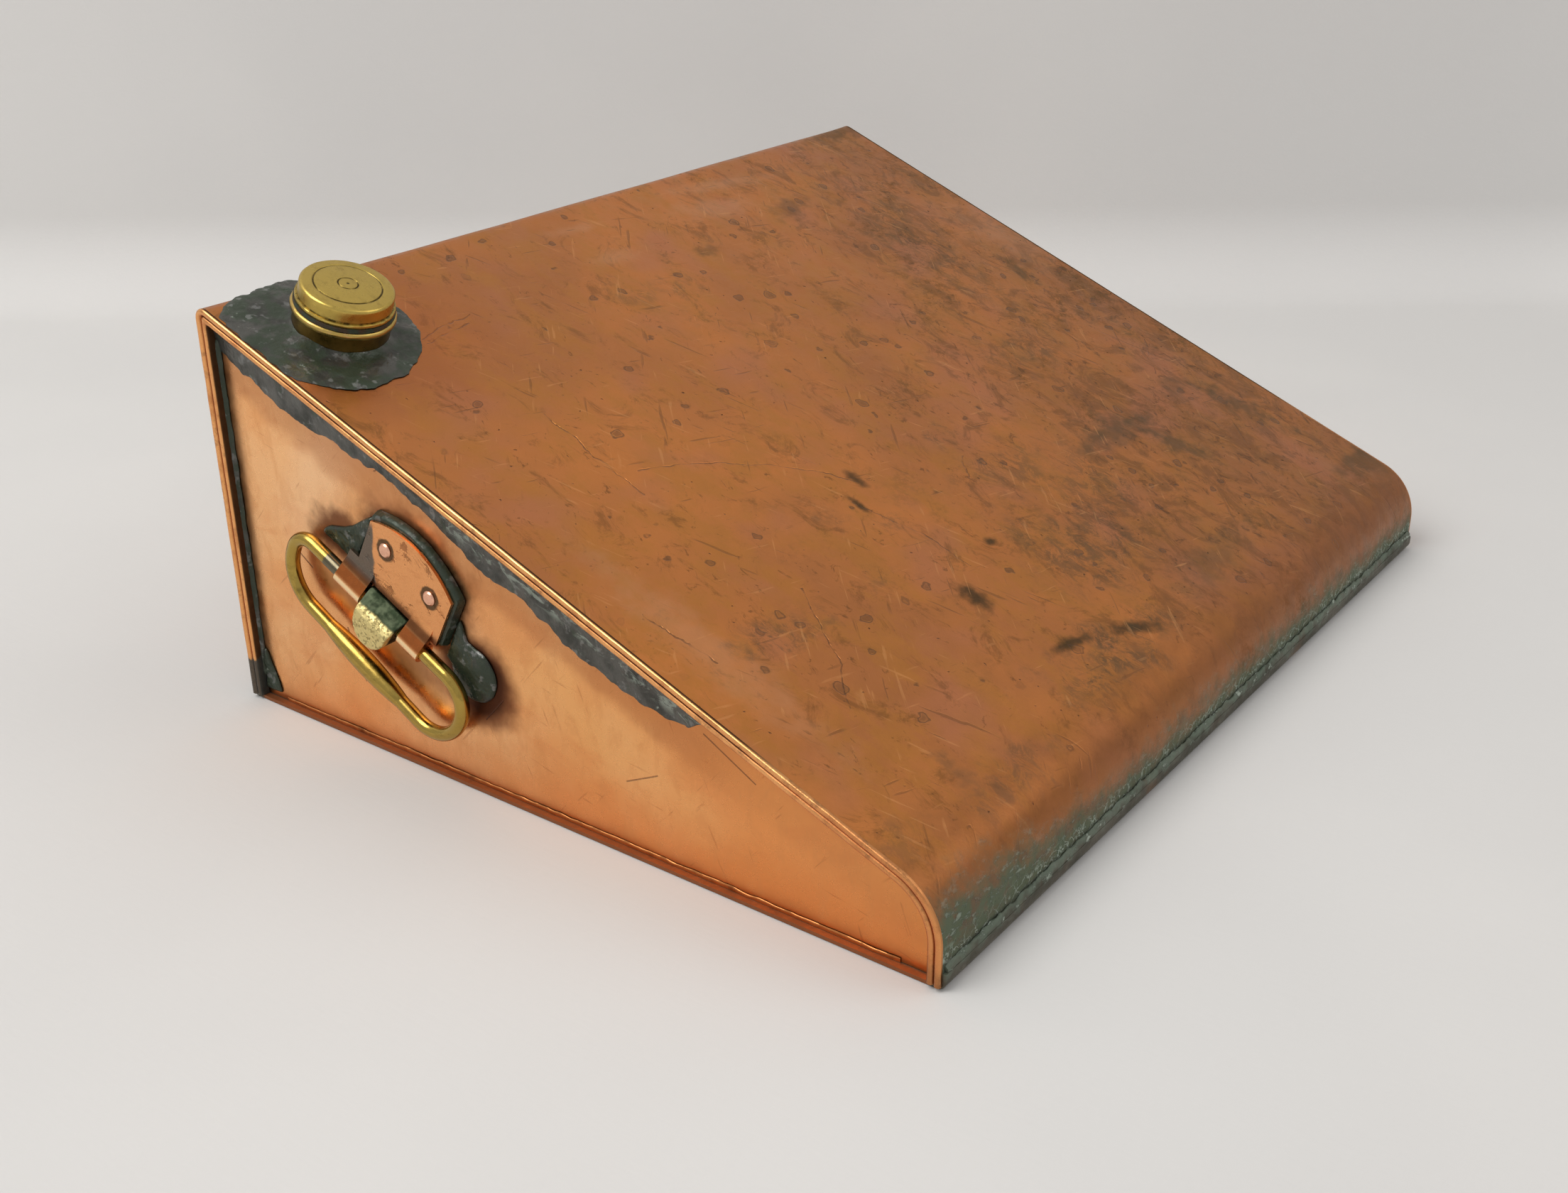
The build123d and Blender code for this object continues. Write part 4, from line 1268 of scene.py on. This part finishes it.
def build_stud():
    low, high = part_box("hinge_stud")
    tall = (high.x - low.x) / MM - 0.05
    outline = [(-8.55, 5.25), (-7.28, -3.2)]
    arc = [math.pi * (1 + k / 24) for k in range(1, 24)]
    outline += [(7.28 * math.cos(t), -3.2 + 7.28 * math.sin(t)) for t in arc]
    outline += [(7.28, -3.2), (8.95, 5.25)]
    ramp = [(-2.2, tall), (-1.1, tall - 0.35), (0.1, tall - 1.2), (1.8, 8.35), (3.4, 6.75),
            (5.3, 4.5)]
    def height(u, v, r):
        level = along_straight(ramp, v)
        if v < -2.0:
            dimple = rough((u, v, 0), 1.5, 5.0, 3)
            return level - 0.13 - 0.12 * dimple - 0.05 * math.sin((0.35 * u + v) * 5)
        return level - 0.10 - 0.10 * rough((u, v, 0), 3.5, 2.0, 2)
    verts, faces = puddle(outline, (0, -2.0), on_handle, height, 44, 200, 0.0, 0, 0.0, soft=0.7,
                          wall=0.955)
    stud = finish_mesh("hinge_stud_filed", verts, faces, stud_brass, "tank", ["hinge_stud"])
    ring = 48
    bore = lathe([(2.7, -11), (2.7, 11)], lambda x, y, h: on_handle(h, x, y + 4.5), ring)[0]
    faces = [[k, (k + 1) % ring, ring + (k + 1) % ring, ring + k] for k in range(ring)]
    faces += [list(range(ring)), list(reversed(range(ring, 2 * ring)))]
    mesh = bpy.data.meshes.new("bore_cutter")
    mesh.from_pydata([v * MM for v in bore], [], faces)
    tidy = bmesh.new()
    tidy.from_mesh(mesh)
    bmesh.ops.recalc_face_normals(tidy, faces=tidy.faces)
    tidy.to_mesh(mesh)
    tidy.free()
    cutter = bpy.data.objects.new("bore_cutter", mesh)
    bpy.context.scene.collection.objects.link(cutter)
    cut = stud.modifiers.new("bore", "BOOLEAN")
    cut.operation = "DIFFERENCE"
    cut.object = cutter
    cut.solver = "EXACT"
    solid = bpy.data.meshes.new_from_object(stud.evaluated_get(bpy.context.evaluated_depsgraph_get()))
    stud.modifiers.clear()
    stud.data = solid
    bpy.data.objects.remove(cutter)


build_bracket()
build_solder_pads()
build_stud()

finishes = {
    "base_tray": tray,
    "hinge_plate": plate_copper,
    "hinge_rivets": rivet_copper,
    "bail": bail_brass,
    "stopper_washer": washer_leather,
}
for node, material in finishes.items():
    piece = frame["nodes"][node]
    piece.data.materials.clear()
    piece.data.materials.append(material)


# ---- floor, light and camera --------------------------------------------------------
def camera_axes(yaw, pitch, roll):
    """Right, up and back directions of a camera turned from +Y towards +X and tipped down."""
    ahead = Vector((math.sin(yaw) * math.cos(pitch), math.cos(yaw) * math.cos(pitch),
                    -math.sin(pitch)))
    right = ahead.cross(Vector((0, 0, 1))).normalized()
    up = right.cross(ahead)
    c, s = math.cos(roll), math.sin(roll)
    return right * c + up * s, up * c - right * s, -ahead


YAW = math.radians(53.16)


def build_floor():
    """Cloth floor that turns up into a backdrop behind the object."""
    ahead = Vector((math.sin(YAW), math.cos(YAW), 0))
    right = Vector((ahead.y, -ahead.x, 0))
    fold, bend, tall, half = 0.40, 0.05, 1.9, 3.2
    drop = 0.0003       # keeps the cloth off the tray's underside
    section = [(-2.6 + 0.1 * k, 0.0) for k in range(30)]
    section = [(a, z) for a, z in section if a < fold - 0.02]
    arc = [math.pi / 2 * k / 12 for k in range(13)]
    section += [(fold + bend * math.sin(t), bend * (1 - math.cos(t))) for t in arc]
    section += [(fold + bend, bend + tall * k / 12) for k in range(1, 13)]
    cols = 60
    verts, faces = [], []
    for a, z in section:
        for j in range(cols + 1):
            b = half * (2 * j / cols - 1)
            verts.append(ahead * a + right * b + Vector((0, 0, z - drop)))
    n = cols + 1
    for i in range(len(section) - 1):
        for j in range(cols):
            faces.append([i * n + j, i * n + j + 1, (i + 1) * n + j + 1, (i + 1) * n + j])
    mesh = bpy.data.meshes.new("cloth_floor")
    mesh.from_pydata(verts, [], faces)
    mesh.shade_smooth()
    mesh.materials.append(cloth())
    floor = bpy.data.objects.new("cloth_floor", mesh)
    bpy.context.scene.collection.objects.link(floor)


def add_light(name, place, aim, size, power, colour):
    lamp = bpy.data.lights.new(name, "AREA")
    lamp.shape = "DISK"
    lamp.size, lamp.energy, lamp.color = size, power, colour
    light = bpy.data.objects.new(name, lamp)
    light.location = place
    light.rotation_euler = (Vector(aim) - Vector(place)).to_track_quat("-Z", "Y").to_euler()
    bpy.context.scene.collection.objects.link(light)


build_floor()
add_light("window", (-1.3, 0.6, 1.9), (0, 0, 0.05), 1.6, 30, (1.0, 0.985, 0.96))
add_light("room", (0.9, -1.5, 1.7), (0, 0, 0.05), 1.8, 9, (1.0, 0.97, 0.93))
world = bpy.data.worlds.new("room")
bpy.context.scene.world = world
world.use_nodes = True
world.node_tree.nodes["Background"].inputs["Color"].default_value = (0.93, 0.93, 0.94, 1)
world.node_tree.nodes["Background"].inputs["Strength"].default_value = 0.63

right, up, back = camera_axes(YAW, math.radians(25.46), math.radians(-0.6))
lens = bpy.data.cameras.new("camera")
lens.sensor_width, lens.lens = 36.0, 41.365
lens.clip_start = 0.01
camera = bpy.data.objects.new("camera", lens)
camera.matrix_world = Matrix.Translation((-0.5136, -0.3417, 0.3016)) @ Matrix(
    [[right[i], up[i], back[i]] for i in range(3)]).to_4x4()
bpy.context.scene.collection.objects.link(camera)
bpy.context.scene.camera = camera
bpy.context.scene.view_settings.view_transform = "Standard"
